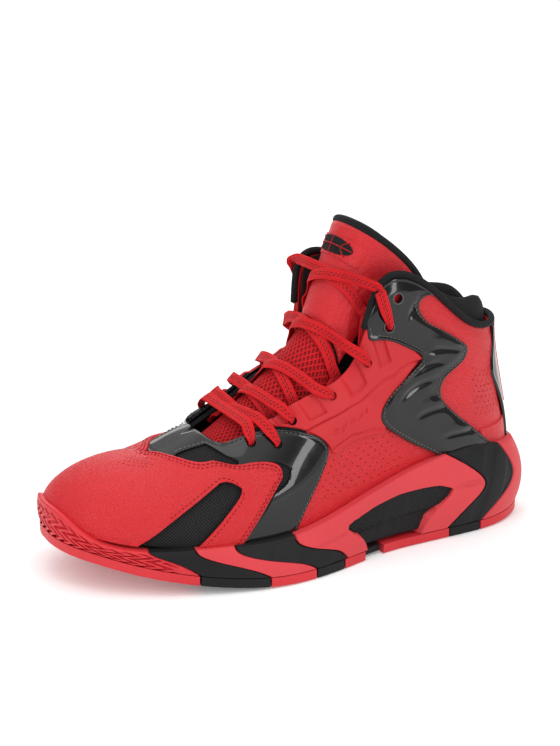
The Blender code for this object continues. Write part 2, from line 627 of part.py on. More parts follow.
# Upper, from the foot outward: linings and stiffeners, base, trim, overlays.
vamp_low = tuple((k, 0.03) for k, _ in VAMP_TOP)
inner_top = tuple((min(k, 7.9), v - LINING_DROP * (THROAT_STATION < k < 7)) for k, v in VAMP_TOP)
inner_low = tuple((k, 0.03) for k, _ in inner_top)
vamp_columns = 2 * (len(VAMP_TOP) - 1)
vamp_lining = panel("vamp_lining", inner_low, inner_top, LINING_LIFT, LINING, vamp_columns, 8, 0,
                    "black_mesh", shoe)
panel("toe_puff", ((0, 0.14), (2.6, 0.14)), ((0, 0.72), (2.6, 0.72)), STIFF_LIFT - 0.0003, STIFFENER * 0.7,
      18, 6, 0, "stiffener", shoe)
vamp_mesh = panel("vamp_mesh", vamp_low, VAMP_TOP, BASE_LIFT, LEATHER, vamp_columns, 8, 0, "black_mesh", shoe)
quarters = [
    panel(f"quarter_{label}", ((8.06, 0.03), (14.92, 0.03)), ((8.06, 0.985), (14.92, 0.985)), BASE_LIFT,
          LEATHER,
          16, 8, side, "red_leather", shoe)
    for label, side in SIDES
]

columns, pad_rows = 35, np.array((0.03, 0.2, 0.36, 0.5, 0.64, 0.78, 0.9, 0.96, 1.0))
q = np.linspace(7.97, 2 * HEEL - 7.97, columns)[:, None] * np.ones((1, len(pad_rows)))
rise = pad_rows[None, :] * np.ones((columns, 1))
rear = smoothstep((fold(q)[0] - 10.6) / 2.4)
v = rise * (0.985 + 0.125 * rear)
pad = LINING + (COLLAR_PAD - LINING) * rear * smoothstep((rise - 0.42) / 0.3)
round_in = np.clip((rise - 0.9) / 0.1, 0, 1) ** 2 * 0.3
collar_lining = loft("collar_lining", surface(q, v, LINING_LIFT - pad * round_in), surface(q, v, LINING_LIFT
                                                                                           - pad * (1 - round_in)),
                     "black_mesh", shoe)
grid = patch(((12.4, 0.05), (15, 0.05)), ((12.4, 0.42), (15, 0.42)), 7, 4, 1)
q = np.concatenate([grid[..., 0], 2 * HEEL - grid[-2::-1, :, 0]])
v = np.concatenate([grid[..., 1], grid[-2::-1, :, 1]])
sheet("heel_counter", surface(q, v, STIFF_LIFT), STIFFENER, "stiffener", shoe)
sheet("heel_cup", surface(q * 1.0, 0.03 + (v - 0.05) * 0.86, TRIM_LIFT), LEATHER, "red_leather", shoe)

toe_cap = panel("toe_cap", CAP_LOW, CAP_HIGH, OVER_LIFT, LEATHER, 2 * (len(CAP_LOW) - 1), 8, 0, "red_leather",
                shoe)
cut(toe_cap, slit_cutters)
saddle = panel("vamp_saddle", SADDLE_FRONT, SADDLE_REAR, TRIM_LIFT, LEATHER, 4 * (len(SADDLE_FRONT) - 1), 5,
               0, "black_patent", shoe)
cut(saddle, saddle_cutters)
cages, straps = [], []
for label, side in SIDES:
    cages.append(panel(f"cage_{label}", CAGE_LOW, CAGE_HIGH, TRIM_LIFT, LEATHER, 16, 5, side, "red_rubber",
                       shoe))
    straps.append(panel(f"ankle_strap_{label}", STRAP_FRONT, STRAP_REAR, OVER_LIFT, LEATHER, len(STRAP_FRONT)
                        - 1, 7, side,
                        "black_patent", shoe))


def strip_grid(edge, rows):
    """(q, v) grid that spans the heel between an edge on the lateral side and its mirror."""
    at = outline(edge, np.linspace(0, 1, rows + 1))
    q = at[None, :, 0] + (2 * HEEL - 2 * at[None, :, 0]) * np.linspace(0, 1, 7)[:, None]
    return q, at[None, :, 1] * np.ones((7, 1))


sheet("heel_strip", surface(*strip_grid(STRIP_EDGE, 12), OVER_LIFT), LEATHER, "black_patent", shoe)
sheet("heel_tab", surface(*strip_grid(((14.55, 0.4), (14.5, 0.7), (14.45, 0.985)), 8), TAB_LIFT), LEATHER,
      "red_leather", shoe)


def cutter(name, low, high, side, home):
    """A solid through the upper over the patch between two edges."""
    q, v = np.moveaxis(patch(low, high, 8, 3, side), -1, 0)
    piece = loft(name, surface(q, v, 0.004), surface(q, v, -0.003), "black_mesh", home)
    hide(piece)
    return piece


for label, side in SIDES:
    q, v = np.moveaxis(patch(SLIT_LOW, SLIT_HIGH, 10, 3, side), -1, 0)
    hide(loft(f"slit_cutter_{label}", surface(q, v, 0.004), surface(q, v, -0.003), "black_mesh",
              slit_cutters))
    cutter(f"almond_cutter_{label}", *ALMOND, side, saddle_cutters)
    cutter(f"teardrop_cutter_{label}", *TEARDROP, side, saddle_cutters)

# Eyelets: bores through every layer, and metal rings in the two at the ankle.
for label, side in SIDES:
    for number, (k, v) in enumerate(EYELETS):
        centre = surface(side * k, v, 0.0)
        axis = unit(surface(side * k, v, 0.002) - centre)
        turn = Vector(axis).to_track_quat("Z", "Y")
        form = bmesh.new()
        bmesh.ops.create_cone(form, cap_ends=True, segments=12, radius1=EYELET_BORE, radius2=EYELET_BORE,
                              depth=0.018)
        mesh = bpy.data.meshes.new("bore")
        form.to_mesh(mesh)
        form.free()
        bore = add(f"bore_{label}_{number + 1}", mesh, "gunmetal", eyelet_cutters)
        bore.location = centre - axis * 0.002
        bore.rotation_mode = "QUATERNION"
        bore.rotation_quaternion = turn
        hide(bore)
        if number < RINGED:
            continue
        ring_curve = bpy.data.curves.new("ring", "CURVE")
        ring_curve.dimensions = "3D"
        ring_curve.bevel_depth = 0.0005
        ring_curve.bevel_resolution = 1
        loop = ring_curve.splines.new("POLY")
        angles = np.linspace(0, 2 * np.pi, 12, endpoint=False)
        loop.points.add(len(angles) - 1)
        for point, angle in zip(loop.points, angles):
            point.co = (*(np.array((np.cos(angle), np.sin(angle), 0)) * (EYELET_BORE + 0.0006)), 1)
        loop.use_cyclic_u = True
        ring = bpy.data.objects.new(f"eyelet_{label}_{number + 1}", ring_curve)
        ring_curve.materials.append(material("gunmetal"))
        shoe.objects.link(ring)
        ring.location = centre + axis * (OVER_LIFT + 0.0009)
        ring.rotation_mode = "QUATERNION"
        ring.rotation_quaternion = turn
for piece in (vamp_lining, vamp_mesh, *quarters, collar_lining, saddle, *cages, *straps):
    cut(piece, eyelet_cutters)

# Binding: black piping that caps the collar's edge from flap to flap.
q = np.linspace(10.65, 2 * HEEL - 10.65, 32)
path = surface(q, 1.0, TRIM_LIFT - 0.0012)
facing = unit(surface(q, 1.0, 0.001) - surface(q, 1.0, 0.0))
path += unit(np.cross(facing, np.gradient(path, axis=0))) * BINDING * 1.2
piping = bpy.data.curves.new("collar_binding", "CURVE")
piping.dimensions = "3D"
piping.bevel_depth = BINDING
piping.bevel_resolution = 1
piping.use_fill_caps = True
run = piping.splines.new("POLY")
run.points.add(len(path) - 1)
for point, place in zip(run.points, path):
    point.co = (*place, 1)
piping.materials.append(material("black_mesh"))
shoe.objects.link(bpy.data.objects.new("collar_binding", piping))

# Tongue: leather top, knit throat, padded lining behind both, binding round the top edge.
hinge = bpy.data.objects.new("tongue_hinge", None)
hinge.location = tongue(0.0, TONGUE_HINGE, -0.002)
shoe.objects.link(hinge)


def on_hinge(piece):
    piece.parent = hinge
    piece.matrix_parent_inverse = hinge.matrix_world.inverted()
    return piece


bpy.context.view_layer.update()
s = np.linspace(-1, 1, 15)[:, None]
t = np.linspace(0.03, TONGUE_SPLIT - 0.004, 8)[None, :]
on_hinge(sheet("tongue_knit", tongue(s, t), LEATHER, "red_knit", shoe))
t = np.linspace(TONGUE_SPLIT + 0.004, 0.985, 7)[None, :]
on_hinge(sheet("tongue_leather", tongue(s, t), LEATHER, "red_leather", shoe))
t = np.linspace(0.03, 0.985, 13)[None, :]
on_hinge(sheet("tongue_lining", tongue(s * 0.985, t, -LEATHER - GAP), TONGUE_PAD, "black_mesh", shoe))
edge_binding = bpy.data.curves.new("tongue_binding", "CURVE")
edge_binding.dimensions = "3D"
edge_binding.bevel_depth = 0.0022
edge_binding.bevel_resolution = 1
edge_binding.use_fill_caps = True
run = edge_binding.splines.new("POLY")
path = tongue(np.linspace(-0.98, 0.98, 25), 1.0, -0.0028)
path[:, 2] += 0.0028
run.points.add(len(path) - 1)
for point, place in zip(run.points, path):
    point.co = (*place, 1)
edge_binding.materials.append(material("black_mesh"))
binding = bpy.data.objects.new("tongue_binding", edge_binding)
shoe.objects.link(binding)
on_hinge(binding)


# Lace: one flat lace. A bar across the lowest pair of holes, then each end crosses the tongue from hole to hole.
def over_tongue(first, last, share, lift):
    """Point of the tongue a share of the way between the places under two others, raised by lift; and its normal."""
    s, t = np.meshgrid(np.linspace(-1, 1, 61), np.linspace(0, 0.95, 96), indexing="ij")
    skin = tongue(s, t)
    found = []
    for place in (first, last):
        nearest = np.argmin(np.linalg.norm(skin - place, axis=-1))
        found.append(np.array((s.flat[nearest], t.flat[nearest])))
    at = found[0] + (found[1] - found[0]) * share
    point = tongue(*at)
    normal = unit(tongue(*at, 0.001) - point)
    return point + normal * lift, normal


def normal_at(q, v):
    return unit(surface(q, v, 0.001) - surface(q, v, 0.0))


def up_the_stay(side, row, step, lift, out):
    """Controls on one face of the eyestay, from beside a hole to the edge of the throat."""
    k, v = EYELETS[row]
    found = []
    last = 1.0 if lift < 0 else 1.15
    for share, narrow in ((0.16, 0.6), (0.4, 0.0), (0.7, 0.0), (last, 0.0)):
        at = side * (k + step * share), v + (1 - v) * share
        found.append((surface(*at, lift), normal_at(*at), narrow))
    return found[::out]


def hole(side, row, over):
    """Controls down a hole, from outside to inside."""
    k, v = side * EYELETS[row][0], EYELETS[row][1]
    return [(surface(k, v, lift), normal_at(k, v), 1.0) for lift in (over * 0.8, 0.0, -0.0045, LACE_UNDER
                                                                     * 0.9)]


def over_of(row):
    return LACE_OVER + LACE_OVER_RING * (row >= RINGED - 1)


def crossing(side, row, upper, turn):
    """Controls from inside one hole, under the throat's edge, over the tongue and down into the next hole."""
    (k0, v0), (k1, v1) = EYELETS[row], EYELETS[row + 1]
    step = 0.25 * (k1 - k0)
    run = unit(surface(-side * k1, v1) - surface(side * k0, v0))
    leave = up_the_stay(side, row, step, LACE_UNDER, 1)
    arrive = up_the_stay(-side, row + 1, -step, over_of(row + 1), -1)
    edge, brow = leave[-1][0], arrive[0][0]
    crown, _ = over_tongue(edge, brow, 0.5, LACE_ON_TONGUE + upper * LACE_STEP)
    middle = []
    for share in np.linspace(0.08, 0.92, 11):
        place, normal = over_tongue(edge, brow, share, 0.0)
        raised = upper * LACE_STEP * smoothstep(3 - abs(share - 0.5) / 0.09)
        taut = crown + (brow - crown) * (share - 0.5) * 2
        clear = ((taut - place) * normal).sum() if share > 0.5 else 0.0
        middle.append((place + normal * max(LACE_ON_TONGUE + raised, clear), normal, 0.0))
    controls = leave + middle + arrive + hole(-side, row + 1, over_of(row + 1))
    return [(place, turn * unit(np.cross(normal, run)), narrow) for place, normal, narrow in controls]


def strand(side, first_upper):
    """Controls of one end of the lace from inside the lowest hole of a side to its tip inside the shoe."""
    found = []
    for row in range(5):
        found += crossing(side * (-1) ** row, row, (row + first_upper) % 2, (-1) ** row)
    last = side * (-1) ** 5
    k, v = EYELETS[5]
    width = found[-1][1]
    for dk, dv, deeper in ((0.08, -0.03, 0), (0.5, -0.06, 0.001), (0.9, -0.08, 0.003)):
        found.append((surface(last * (k + dk), v + dv, LACE_UNDER - deeper), width, 0.6))
    return found


def laid(controls, spacing=0.0005, soften=3):
    """The lace's course: controls joined, bends rounded by averaging, then thinned where it runs straight."""
    places, widths, narrow = (np.array(part) for part in zip(*controls))
    reach = np.concatenate([[0], np.cumsum(np.linalg.norm(np.diff(places, axis=0), axis=1))])
    at = np.linspace(0, reach[-1], int(reach[-1] / spacing))
    every = np.concatenate([places, widths, narrow[:, None]], axis=1)
    course = np.stack([np.interp(at, reach, column) for column in every.T], -1)
    for _ in range(2):
        padded = np.pad(course, ((soften, soften), (0, 0)), mode="edge")
        window = np.ones(2 * soften + 1) / (2 * soften + 1)
        course = np.stack([np.convolve(column, window, "valid") for column in padded.T], -1)
    run = unit(np.gradient(course[:, :3], axis=0))
    bend = np.linalg.norm(np.gradient(run, axis=0), axis=1)
    load = np.cumsum(0.04 + np.minimum(bend * 1.1, 0.15))
    keep = np.unique(np.searchsorted(load, np.arange(load[0], load[-1], 1.0)).clip(0, len(load) - 1))
    keep = np.unique(np.concatenate([keep, [0, len(load) - 1]]))
    return course[keep], run[keep]


bar = []
for side, out in ((-1, 1), (1, -1)):
    leg = hole(side, 0, LACE_OVER)[::-1] + up_the_stay(side, 0, 0.1, LACE_OVER, 1)
    bar += [(place, unit(np.cross((1.0, 0, 0), normal)), narrow) for place, normal, narrow in leg[::out]]
controls = strand(-1, 1)[::-1] + bar + strand(1, 0)
course, run = laid(controls)
centre, narrow = course[:, :3], course[:, 6:7]
width = unit(course[:, 3:6] - run * (course[:, 3:6] * run).sum(axis=1, keepdims=True))
for i in range(1, len(width)):
    if (width[i] * width[i - 1]).sum() < 0:
        width[i:] *= -1
thick = unit(np.cross(run, width))
half_width = (LACE_WIDTH * (1 - narrow) + 0.0034 * narrow) / 2
half_thick = (LACE_THICKNESS * (1 - narrow) + 0.0018 * narrow) / 2
section = ((1, 0.35), (0.8, 1), (-0.8, 1), (-1, 0.35), (-1, -0.35), (-0.8, -1), (0.8, -1), (1, -0.35))
rings = np.stack([centre + width * a * half_width + thick * b * half_thick for a, b in section], 1)
count, sides = rings.shape[:2]
index = np.arange(count * sides).reshape(count, sides)
after = np.roll(index, -1, axis=1)
faces = np.stack([index[:-1], index[1:], after[1:], after[:-1]], -1).reshape(-1, 4).tolist()
faces += [index[0].tolist(), index[-1, ::-1].tolist()]
mesh = bpy.data.meshes.new("lace")
mesh.from_pydata(rings.reshape(-1, 3), [], faces)
mesh.validate()
form = bmesh.new()
form.from_mesh(mesh)
bmesh.ops.recalc_face_normals(form, faces=form.faces)
form.to_mesh(mesh)
form.free()
add("lace", mesh, "red_lace", shoe)
for number, end in ((1, 0), (2, -1)):
    away = run[end] * (1 if end else -1)
    tip = bpy.data.curves.new(f"aglet_{number}", "CURVE")
    tip.dimensions = "3D"
    tip.bevel_depth = 0.0012
    tip.bevel_resolution = 1
    tip.use_fill_caps = True
    rod = tip.splines.new("POLY")
    rod.points.add(1)
    for point, reach in zip(rod.points, (0.0004, 0.0124)):
        point.co = (*(centre[end] + away * reach), 1)
    tip.materials.append(material("black_patent"))
    shoe.objects.link(bpy.data.objects.new(f"aglet_{number}", tip))

# Lace keeper: a strip stitched on the tongue below its binding, standing clear of it in the middle.
across, up = np.meshgrid(np.linspace(-0.34, 0.34, 11), np.linspace(0.845, 0.9, 3), indexing="ij")
arch = 0.0005 + LEATHER + 0.0016 * smoothstep(1.6 - np.abs(across) / 0.2)
on_hinge(sheet("lace_keeper", tongue(across, up, arch), LEATHER, "black_mesh", shoe))
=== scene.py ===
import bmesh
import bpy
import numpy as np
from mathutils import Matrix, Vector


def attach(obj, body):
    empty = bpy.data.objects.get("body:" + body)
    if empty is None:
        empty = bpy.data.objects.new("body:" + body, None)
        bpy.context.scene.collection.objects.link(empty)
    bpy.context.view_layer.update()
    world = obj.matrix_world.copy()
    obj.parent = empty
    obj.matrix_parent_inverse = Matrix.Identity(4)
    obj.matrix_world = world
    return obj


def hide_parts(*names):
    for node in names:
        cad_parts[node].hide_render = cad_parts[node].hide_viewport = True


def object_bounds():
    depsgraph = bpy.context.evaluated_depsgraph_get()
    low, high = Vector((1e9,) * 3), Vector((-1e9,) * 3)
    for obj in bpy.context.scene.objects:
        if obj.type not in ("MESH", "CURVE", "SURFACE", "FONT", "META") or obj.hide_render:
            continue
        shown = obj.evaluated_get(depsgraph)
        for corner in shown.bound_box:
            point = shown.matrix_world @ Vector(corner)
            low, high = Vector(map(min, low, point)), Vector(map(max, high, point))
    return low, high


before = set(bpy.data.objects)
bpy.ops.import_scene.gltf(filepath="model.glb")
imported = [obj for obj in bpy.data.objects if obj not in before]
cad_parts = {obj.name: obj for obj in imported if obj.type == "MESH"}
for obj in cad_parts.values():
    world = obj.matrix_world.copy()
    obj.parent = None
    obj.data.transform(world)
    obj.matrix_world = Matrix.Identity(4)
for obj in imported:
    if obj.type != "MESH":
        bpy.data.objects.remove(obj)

# %% [markdown]
# # A basketball high top, built up in layers
#
# A shoe upper is not one shape. It is sheets of leather, patent and mesh pulled over one foot-shaped last and
# stitched where they overlap. So this lesson builds the last once, as a function of two numbers, and then cuts
# every panel out of that function at its own height above it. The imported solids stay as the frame: they say
# where things are and how the tongue and the sockliner move, and each visible piece rides on one of them.

CAD_BOX = [list(corner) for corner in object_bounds()]
size = np.subtract(CAD_BOX[1], CAD_BOX[0])

# %% [markdown]
# ## Camera, floor and light
#
# The camera comes first, because every later choice is judged through it. A 75 mm lens just under a metre
# away keeps the toe from swelling. The light is what a catalogue table has: one large soft panel overhead, a
# strip on each side to draw long highlights down the patent, and a room that is white above and grey below.

# %% Camera, floor and light
AIM = np.array((-4.05 - 3.51, -8.30 - 1.08, 102.2)) / 1000
AZIMUTH, ELEVATION, DISTANCE = np.radians(64), np.radians(16.2), 0.9
back = np.array((np.sin(AZIMUTH) * np.cos(ELEVATION), -np.cos(AZIMUTH) * np.cos(ELEVATION),
                 np.sin(ELEVATION)))
lens = bpy.data.cameras.new("camera")
lens.lens, lens.sensor_width, lens.clip_start = 75.0, 36.0, 0.02
camera = bpy.data.objects.new("camera", lens)
camera.location = AIM + back * DISTANCE
camera.rotation_euler = Vector(back).to_track_quat("Z", "Y").to_euler()
bpy.context.scene.collection.objects.link(camera)
bpy.context.scene.camera = camera


def area_light(name, place, aim, width, height, watts):
    lamp = bpy.data.lights.new(name, "AREA")
    lamp.shape, lamp.size, lamp.size_y, lamp.energy = "RECTANGLE", width, height, watts
    holder = bpy.data.objects.new(name, lamp)
    holder.location = place
    holder.rotation_euler = (Vector(place) - Vector(aim)).to_track_quat("Z", "Y").to_euler()
    bpy.context.scene.collection.objects.link(holder)


area_light("overhead", (0.15, -0.1, 1.1), (0, 0, 0.05), 0.7, 0.7, 2)
area_light("front_left", (0.5, -1.0, 0.45), (0, -0.05, 0.08), 0.3, 0.7, 2.2)
area_light("side_strip", (1.1, 0.45, 0.5), (0, 0.05, 0.08), 0.14, 0.9, 3)
area_light("far_side", (-0.9, 0.2, 0.6), (0, 0, 0.1), 0.5, 0.8, 2)
world = bpy.data.worlds.new("room")
bpy.context.scene.world = world
world.use_nodes = True
sky = world.node_tree
height = sky.nodes.new("ShaderNodeSeparateXYZ")
bright = sky.nodes.new("ShaderNodeMapRange")
bright.interpolation_type = "SMOOTHSTEP"
for key, value in (("From Min", 0.25), ("From Max", 0.75), ("To Min", 0.24), ("To Max", 1.22)):
    bright.inputs[key].default_value = value
sky.links.new(sky.nodes.new("ShaderNodeTexCoord").outputs["Generated"], height.inputs[0])
sky.links.new(height.outputs["Z"], bright.inputs["Value"])
sky.links.new(bright.outputs[0], sky.nodes["Background"].inputs["Strength"])
sky.nodes["Background"].inputs["Color"].default_value = (1, 1, 1, 1)
bpy.context.scene.view_settings.view_transform = "Standard"
print("camera at", np.round(np.array(camera.location), 3))

# %% [markdown]
# ## Finishes as sums
#
# A shader is arithmetic: a weave is a product of sines, a grain is a distance to the nearest cell. Written as
# nodes that is hard to read, so one small class lets it be written as a sum. Number wraps a socket, and
# + - * / on it add Math nodes. Finish holds a material and makes every other node through one method.


# %% Number and Finish
class Number:
    """One value in a shader. Python's operators on it add Math nodes."""

    def __init__(self, finish, socket):
        self.finish, self.socket = finish, socket

    def __add__(self, other):
        return self.finish.math("ADD", self, other)

    def __sub__(self, other):
        return self.finish.math("SUBTRACT", self, other)

    def __rsub__(self, other):
        return self.finish.math("SUBTRACT", other, self)

    def __mul__(self, other):
        return self.finish.math("MULTIPLY", self, other)

    def __truediv__(self, other):
        return self.finish.math("DIVIDE", self, other)

    __radd__, __rmul__ = __add__, __mul__


class Finish:
    """A material on the Principled shader, with one method for every node that its pattern needs."""

    def __init__(self, name, colour, rough, **fixed):
        self.material = bpy.data.materials.new(name)
        self.material.use_nodes = True
        self.tree = self.material.node_tree
        self.shader = self.tree.nodes["Principled BSDF"]
        self.set(self.shader, {"Base Color": (*colour, 1), "Roughness": rough, **fixed})
        self.material.diffuse_color = (*colour, 1)
        self.place = self.node("ShaderNodeTexCoord").outputs["Object"]

    def set(self, node, inputs):
        for key, value in inputs.items():
            value = value.socket if isinstance(value, Number) else value
            if isinstance(value, bpy.types.NodeSocket):
                self.tree.links.new(value, node.inputs[key])
            else:
                node.inputs[key].default_value = value

    def node(self, kind, settings=(), inputs=()):
        made = self.tree.nodes.new(kind)
        for key, value in dict(settings).items():
            setattr(made, key, value)
        self.set(made, dict(inputs))
        return made

    def math(self, operation, *values):
        made = self.node("ShaderNodeMath", {"operation": operation}, dict(enumerate(values)))
        return Number(self, made.outputs[0])

    def noise(self, scale, detail=2.0, place=None):
        made = self.node("ShaderNodeTexNoise", (), {"Vector": place or self.place, "Scale": scale,
                                                    "Detail": detail})
        return Number(self, made.outputs["Fac"])

    def cells(self, scale, feature="F1", place=None):
        made = self.node("ShaderNodeTexVoronoi", {"feature": feature}, {"Vector": place or self.place,
                                                                        "Scale": scale})
        return Number(self, made.outputs["Distance"])

    def uv(self):
        made = self.node("ShaderNodeSeparateXYZ", (), {"Vector": self.node("ShaderNodeUVMap",
                                                                           {"uv_map": "UVMap"}).outputs[0]})
        return Number(self, made.outputs[0]), Number(self, made.outputs[1])

    def sine(self, value):
        return self.math("SINE", value)

    def clip(self, value, low=0.0, high=1.0):
        """0 below low, 1 above high, smooth between."""
        made = self.node("ShaderNodeMapRange", {"interpolation_type": "SMOOTHSTEP"},
                         {"Value": value, "From Min": low, "From Max": high})
        return Number(self, made.outputs[0])

    def mix(self, share, first, second):
        made = self.node("ShaderNodeMix", {"data_type": "RGBA"}, {0: share, 6: first, 7: second})
        return made.outputs[2]

    def tint(self, share, first, second):
        self.set(self.shader, {"Base Color": self.mix(share, (*first, 1), (*second, 1))})

    def relief(self, height, depth, strength=1.0):
        """Bumps the surface by height, where 1 stands depth metres above 0."""
        bump = self.node("ShaderNodeBump", (), {"Height": height, "Distance": depth, "Strength": strength})
        self.set(self.shader, {"Normal": bump.outputs[0]})


# %% [markdown]
# ## The materials
#
# Colours are linear. Leather gets pebbles about a millimetre across, with finer pores inside them and a slow
# drift of tone, and the crevices between its pebbles are painted darker as shade. Patent is a black sheet under a
# clear coat, so it needs almost no colour but a faint ripple.
# Mesh, knit and lace are drawn in the piece's own UV map, in millimetres, so the weave follows the surface.
# The hollows between their threads are painted darker as shade.

# %% Leather, patent, foam and rubber
RED, CORAL = (0.62, 0.007, 0.014), (0.66, 0.052, 0.062)


def leather(name, colour, dark, pebble=0.0014):
    look = Finish(name, colour, 0.4, **{"Specular IOR Level": 0.45})
    wander = look.noise(900, 3)
    grain = look.cells(1 / pebble, "DISTANCE_TO_EDGE") + wander * 0.12
    pebbles = look.clip(grain, 0.02, 0.3)
    slow = look.noise(28, 3)
    # Painted shade: the crevices between the pebbles take the dark colour; the slow noise is a real drift of tone.
    look.tint(look.clip(pebbles * 0.45 + slow * 0.6, 0.0, 0.75), dark, colour)
    look.set(look.shader, {"Roughness": 0.52 - pebbles * 0.14 + (slow - 0.5) * 0.12})
    look.relief(pebbles + look.noise(3200, 2) * 0.2, 0.00022, 0.8)
    return look.material


def patent(name):
    look = Finish(name, (0.008, 0.008, 0.009), 0.16, **{"Coat Weight": 0.55, "Coat Roughness": 0.03,
                                                        "Specular IOR Level": 0.15})
    slow = look.noise(55, 2)
    look.tint(slow, (0.004, 0.004, 0.0045), (0.010, 0.010, 0.011))
    look.set(look.shader, {"Roughness": 0.12 + slow * 0.12})
    look.relief(slow + look.noise(420, 2) * 0.06, 0.0009, 0.35)
    return look.material


def foam(name, colour, dark, rough=0.52, gloss=0.25):
    look = Finish(name, colour, rough, **{"Specular IOR Level": gloss})
    speck = look.noise(2400, 3)
    slow = look.noise(22, 3)
    look.tint(look.clip(speck * 0.3 + slow * 0.8, 0.25, 0.8), dark, colour)
    look.set(look.shader, {"Roughness": rough + (slow - 0.5) * 0.14})
    look.relief(speck, 0.00007, 0.6)
    return look.material


RED_LEATHER = leather("red_leather", RED, (0.50, 0.005, 0.010))
PATENT = patent("black_patent")
CORAL_FOAM = foam("coral_foam", CORAL, (0.60, 0.046, 0.056))
BUMPER_RUBBER = foam("red_rubber", (0.66, 0.034, 0.044), (0.54, 0.022, 0.03), 0.45)
CAGE_PLASTIC = foam("red_moulded_plastic", (0.58, 0.024, 0.030), (0.50, 0.016, 0.021), 0.42)
BLACK_RUBBER = foam("black_rubber", (0.015, 0.015, 0.016), (0.008, 0.008, 0.009), 0.5, 0.15)


# %% Mesh, knit, lace and thread
def weave(name, colour, shade, cell, slant, depth, rough=0.75):
    """Two sets of slanted threads: u and v in millimetres, turned by slant, one sine for each set. The hollows between
    them are painted darker, in the shade colour, as painted shade.
    """
    look = Finish(name, colour, rough, **{"Specular IOR Level": 0.2})
    u, v = look.uv()
    turn = 2 * np.pi / cell
    one = look.sine((u + v * slant) * turn)
    two = look.sine((u - v * slant) * turn)
    wave = look.math("MAXIMUM", one, two) * 0.5 + 0.5
    yarn = look.sine((u * 7.0 + v * 5.0) * turn) * 0.08
    height = look.clip(wave + yarn, 0.25, 0.95)
    # Painted shade: the low parts of the weave take the darker colour.
    look.tint(height, shade, colour)
    look.relief(height, depth, 0.9)
    return look.material


# The second colour of each weave is the painted shade in its hollows.
BLACK_MESH = weave("black_mesh", (0.024, 0.024, 0.026), (0.001, 0.001, 0.001), 1.5, 0.62, 0.00035)
BLACK_LINING = weave("black_lining", (0.014, 0.014, 0.015), (0.004, 0.004, 0.004), 0.9, 0.9, 0.00012)
BLACK_TAPE = weave("black_tape", (0.013, 0.013, 0.014), (0.003, 0.003, 0.003), 0.8, 1.1, 0.00015)
RED_KNIT = weave("red_knit", (0.60, 0.009, 0.015), (0.22, 0.002, 0.004), 2.7, 0.6, 0.0010)
RED_THREAD = foam("red_thread", (0.34, 0.004, 0.007), (0.25, 0.003, 0.005), 0.6)
# The black thread is coloured pale grey: a painted highlight for the glints of light along it. The aglets share it.
BLACK_THREAD_PAINTED_GLINT = foam("black_thread_painted_glint", (0.16, 0.15, 0.13), (0.03, 0.03, 0.028), 0.4)
# The perforations are painted dark red: painted shade inside each hole.
HOLE_PAINTED_SHADE = foam("hole_painted_shade", (0.10, 0.002, 0.004), (0.07, 0.001, 0.002), 0.9)
GUNMETAL = Finish("gunmetal", (0.10, 0.10, 0.105), 0.28, Metallic=1.0)
GUNMETAL.relief(GUNMETAL.noise(900, 2), 0.00004, 0.4)
FIBRE_BOARD = foam("fibre_board", (0.35, 0.27, 0.18), (0.28, 0.21, 0.13), 0.8)
STIFF_FELT = foam("stiffener", (0.5, 0.48, 0.44), (0.42, 0.4, 0.36), 0.6)


def lace_weave():
    """Flat braid: u is millimetres along, v runs -1 to 1 across. Chevron yarns, painted darker as shade in their low
    parts and lighter as painted light on their tops, and two dashed rows of black flecks.
    """
    look = Finish("red_lace", RED, 0.62, **{"Specular IOR Level": 0.2})
    u, v = look.uv()
    side = look.math("ABSOLUTE", v - 0.05)
    ribs = look.sine(v * 19.0) * 0.5 + 0.5
    picks = look.sine(u * 6.6 + ribs * 2.2) * 0.5 + 0.5
    height = look.clip(ribs * 0.7 + picks * 0.5, 0.1, 1.0)
    # Painted shade and light: the braid's colour follows its height, dark red low and bright red high.
    braid = look.mix(height, (0.42, 0.004, 0.007, 1), (0.72, 0.010, 0.016, 1))
    row = look.clip(look.math("ABSOLUTE", side - 0.2), 0.11, 0.07)
    dash = look.clip(look.sine(u * 2.3 + v * 6.0), -0.05, 0.1)
    look.set(look.shader, {"Base Color": look.mix(row * dash, braid, (0.008, 0.008, 0.009, 1))})
    look.relief(height, 0.00022, 0.9)
    return look.material


LACE = lace_weave()
print(len(bpy.data.materials), "materials")

# %% [markdown]
# ## One last for the whole upper
#
# surface(q, v, lift) is the foot form. q counts stations round the shoe from the toe (0) to the heel (15), minus
# on the inner side. v climbs from the feather line, where the upper meets the sole, to the top line. lift is
# metres out from the last. Between the two lines each section is a cubic Bezier curve, and the handles of those
# curves run smoothly from station to station on splines, so one formula holds the toe dome, the waist and the
# collar.

# %% The last: its tables and its formula
# Thicknesses in metres. The tables are in millimetres and scale with the frame's box.
LEATHER = 0.0010
STIFFENER = 0.0008
LINING = 0.0018
COLLAR_PAD = 0.0070
GAP = 0.0005
OUTSOLE = 0.0055
RIM_WALL = 0.0021
CORE_INSET = 0.0030
SOCKLINER = 0.0042
TONGUE_PAD = 0.0034
LACE_WIDTH = 0.0066
LACE_THICKNESS = 0.0012
EYELET_BORE = 0.0026
SCALE = size / (0.11584, 0.30400, 0.19386)
MM = SCALE * 0.001
NOMINAL = 0.001
# Brings the middle of the shoe's box over the origin.
CENTRE = np.array((-3.5115, -1.0833, 0)) * MM

# Each layer of the upper is a sheet whose outer face stands this far out from the last's surface.
TRIM_LIFT = 0.0001
OVER_LIFT = TRIM_LIFT + GAP + LEATHER
TAB_LIFT = OVER_LIFT + GAP + LEATHER
BASE_LIFT = TRIM_LIFT - LEATHER - GAP
STIFF_LIFT = BASE_LIFT - LEATHER - GAP
LINING_LIFT = STIFF_LIFT - STIFFENER - GAP
ROOM_LIFT = LINING_LIFT - LINING
WALL_LIFT = OVER_LIFT + 0.0006

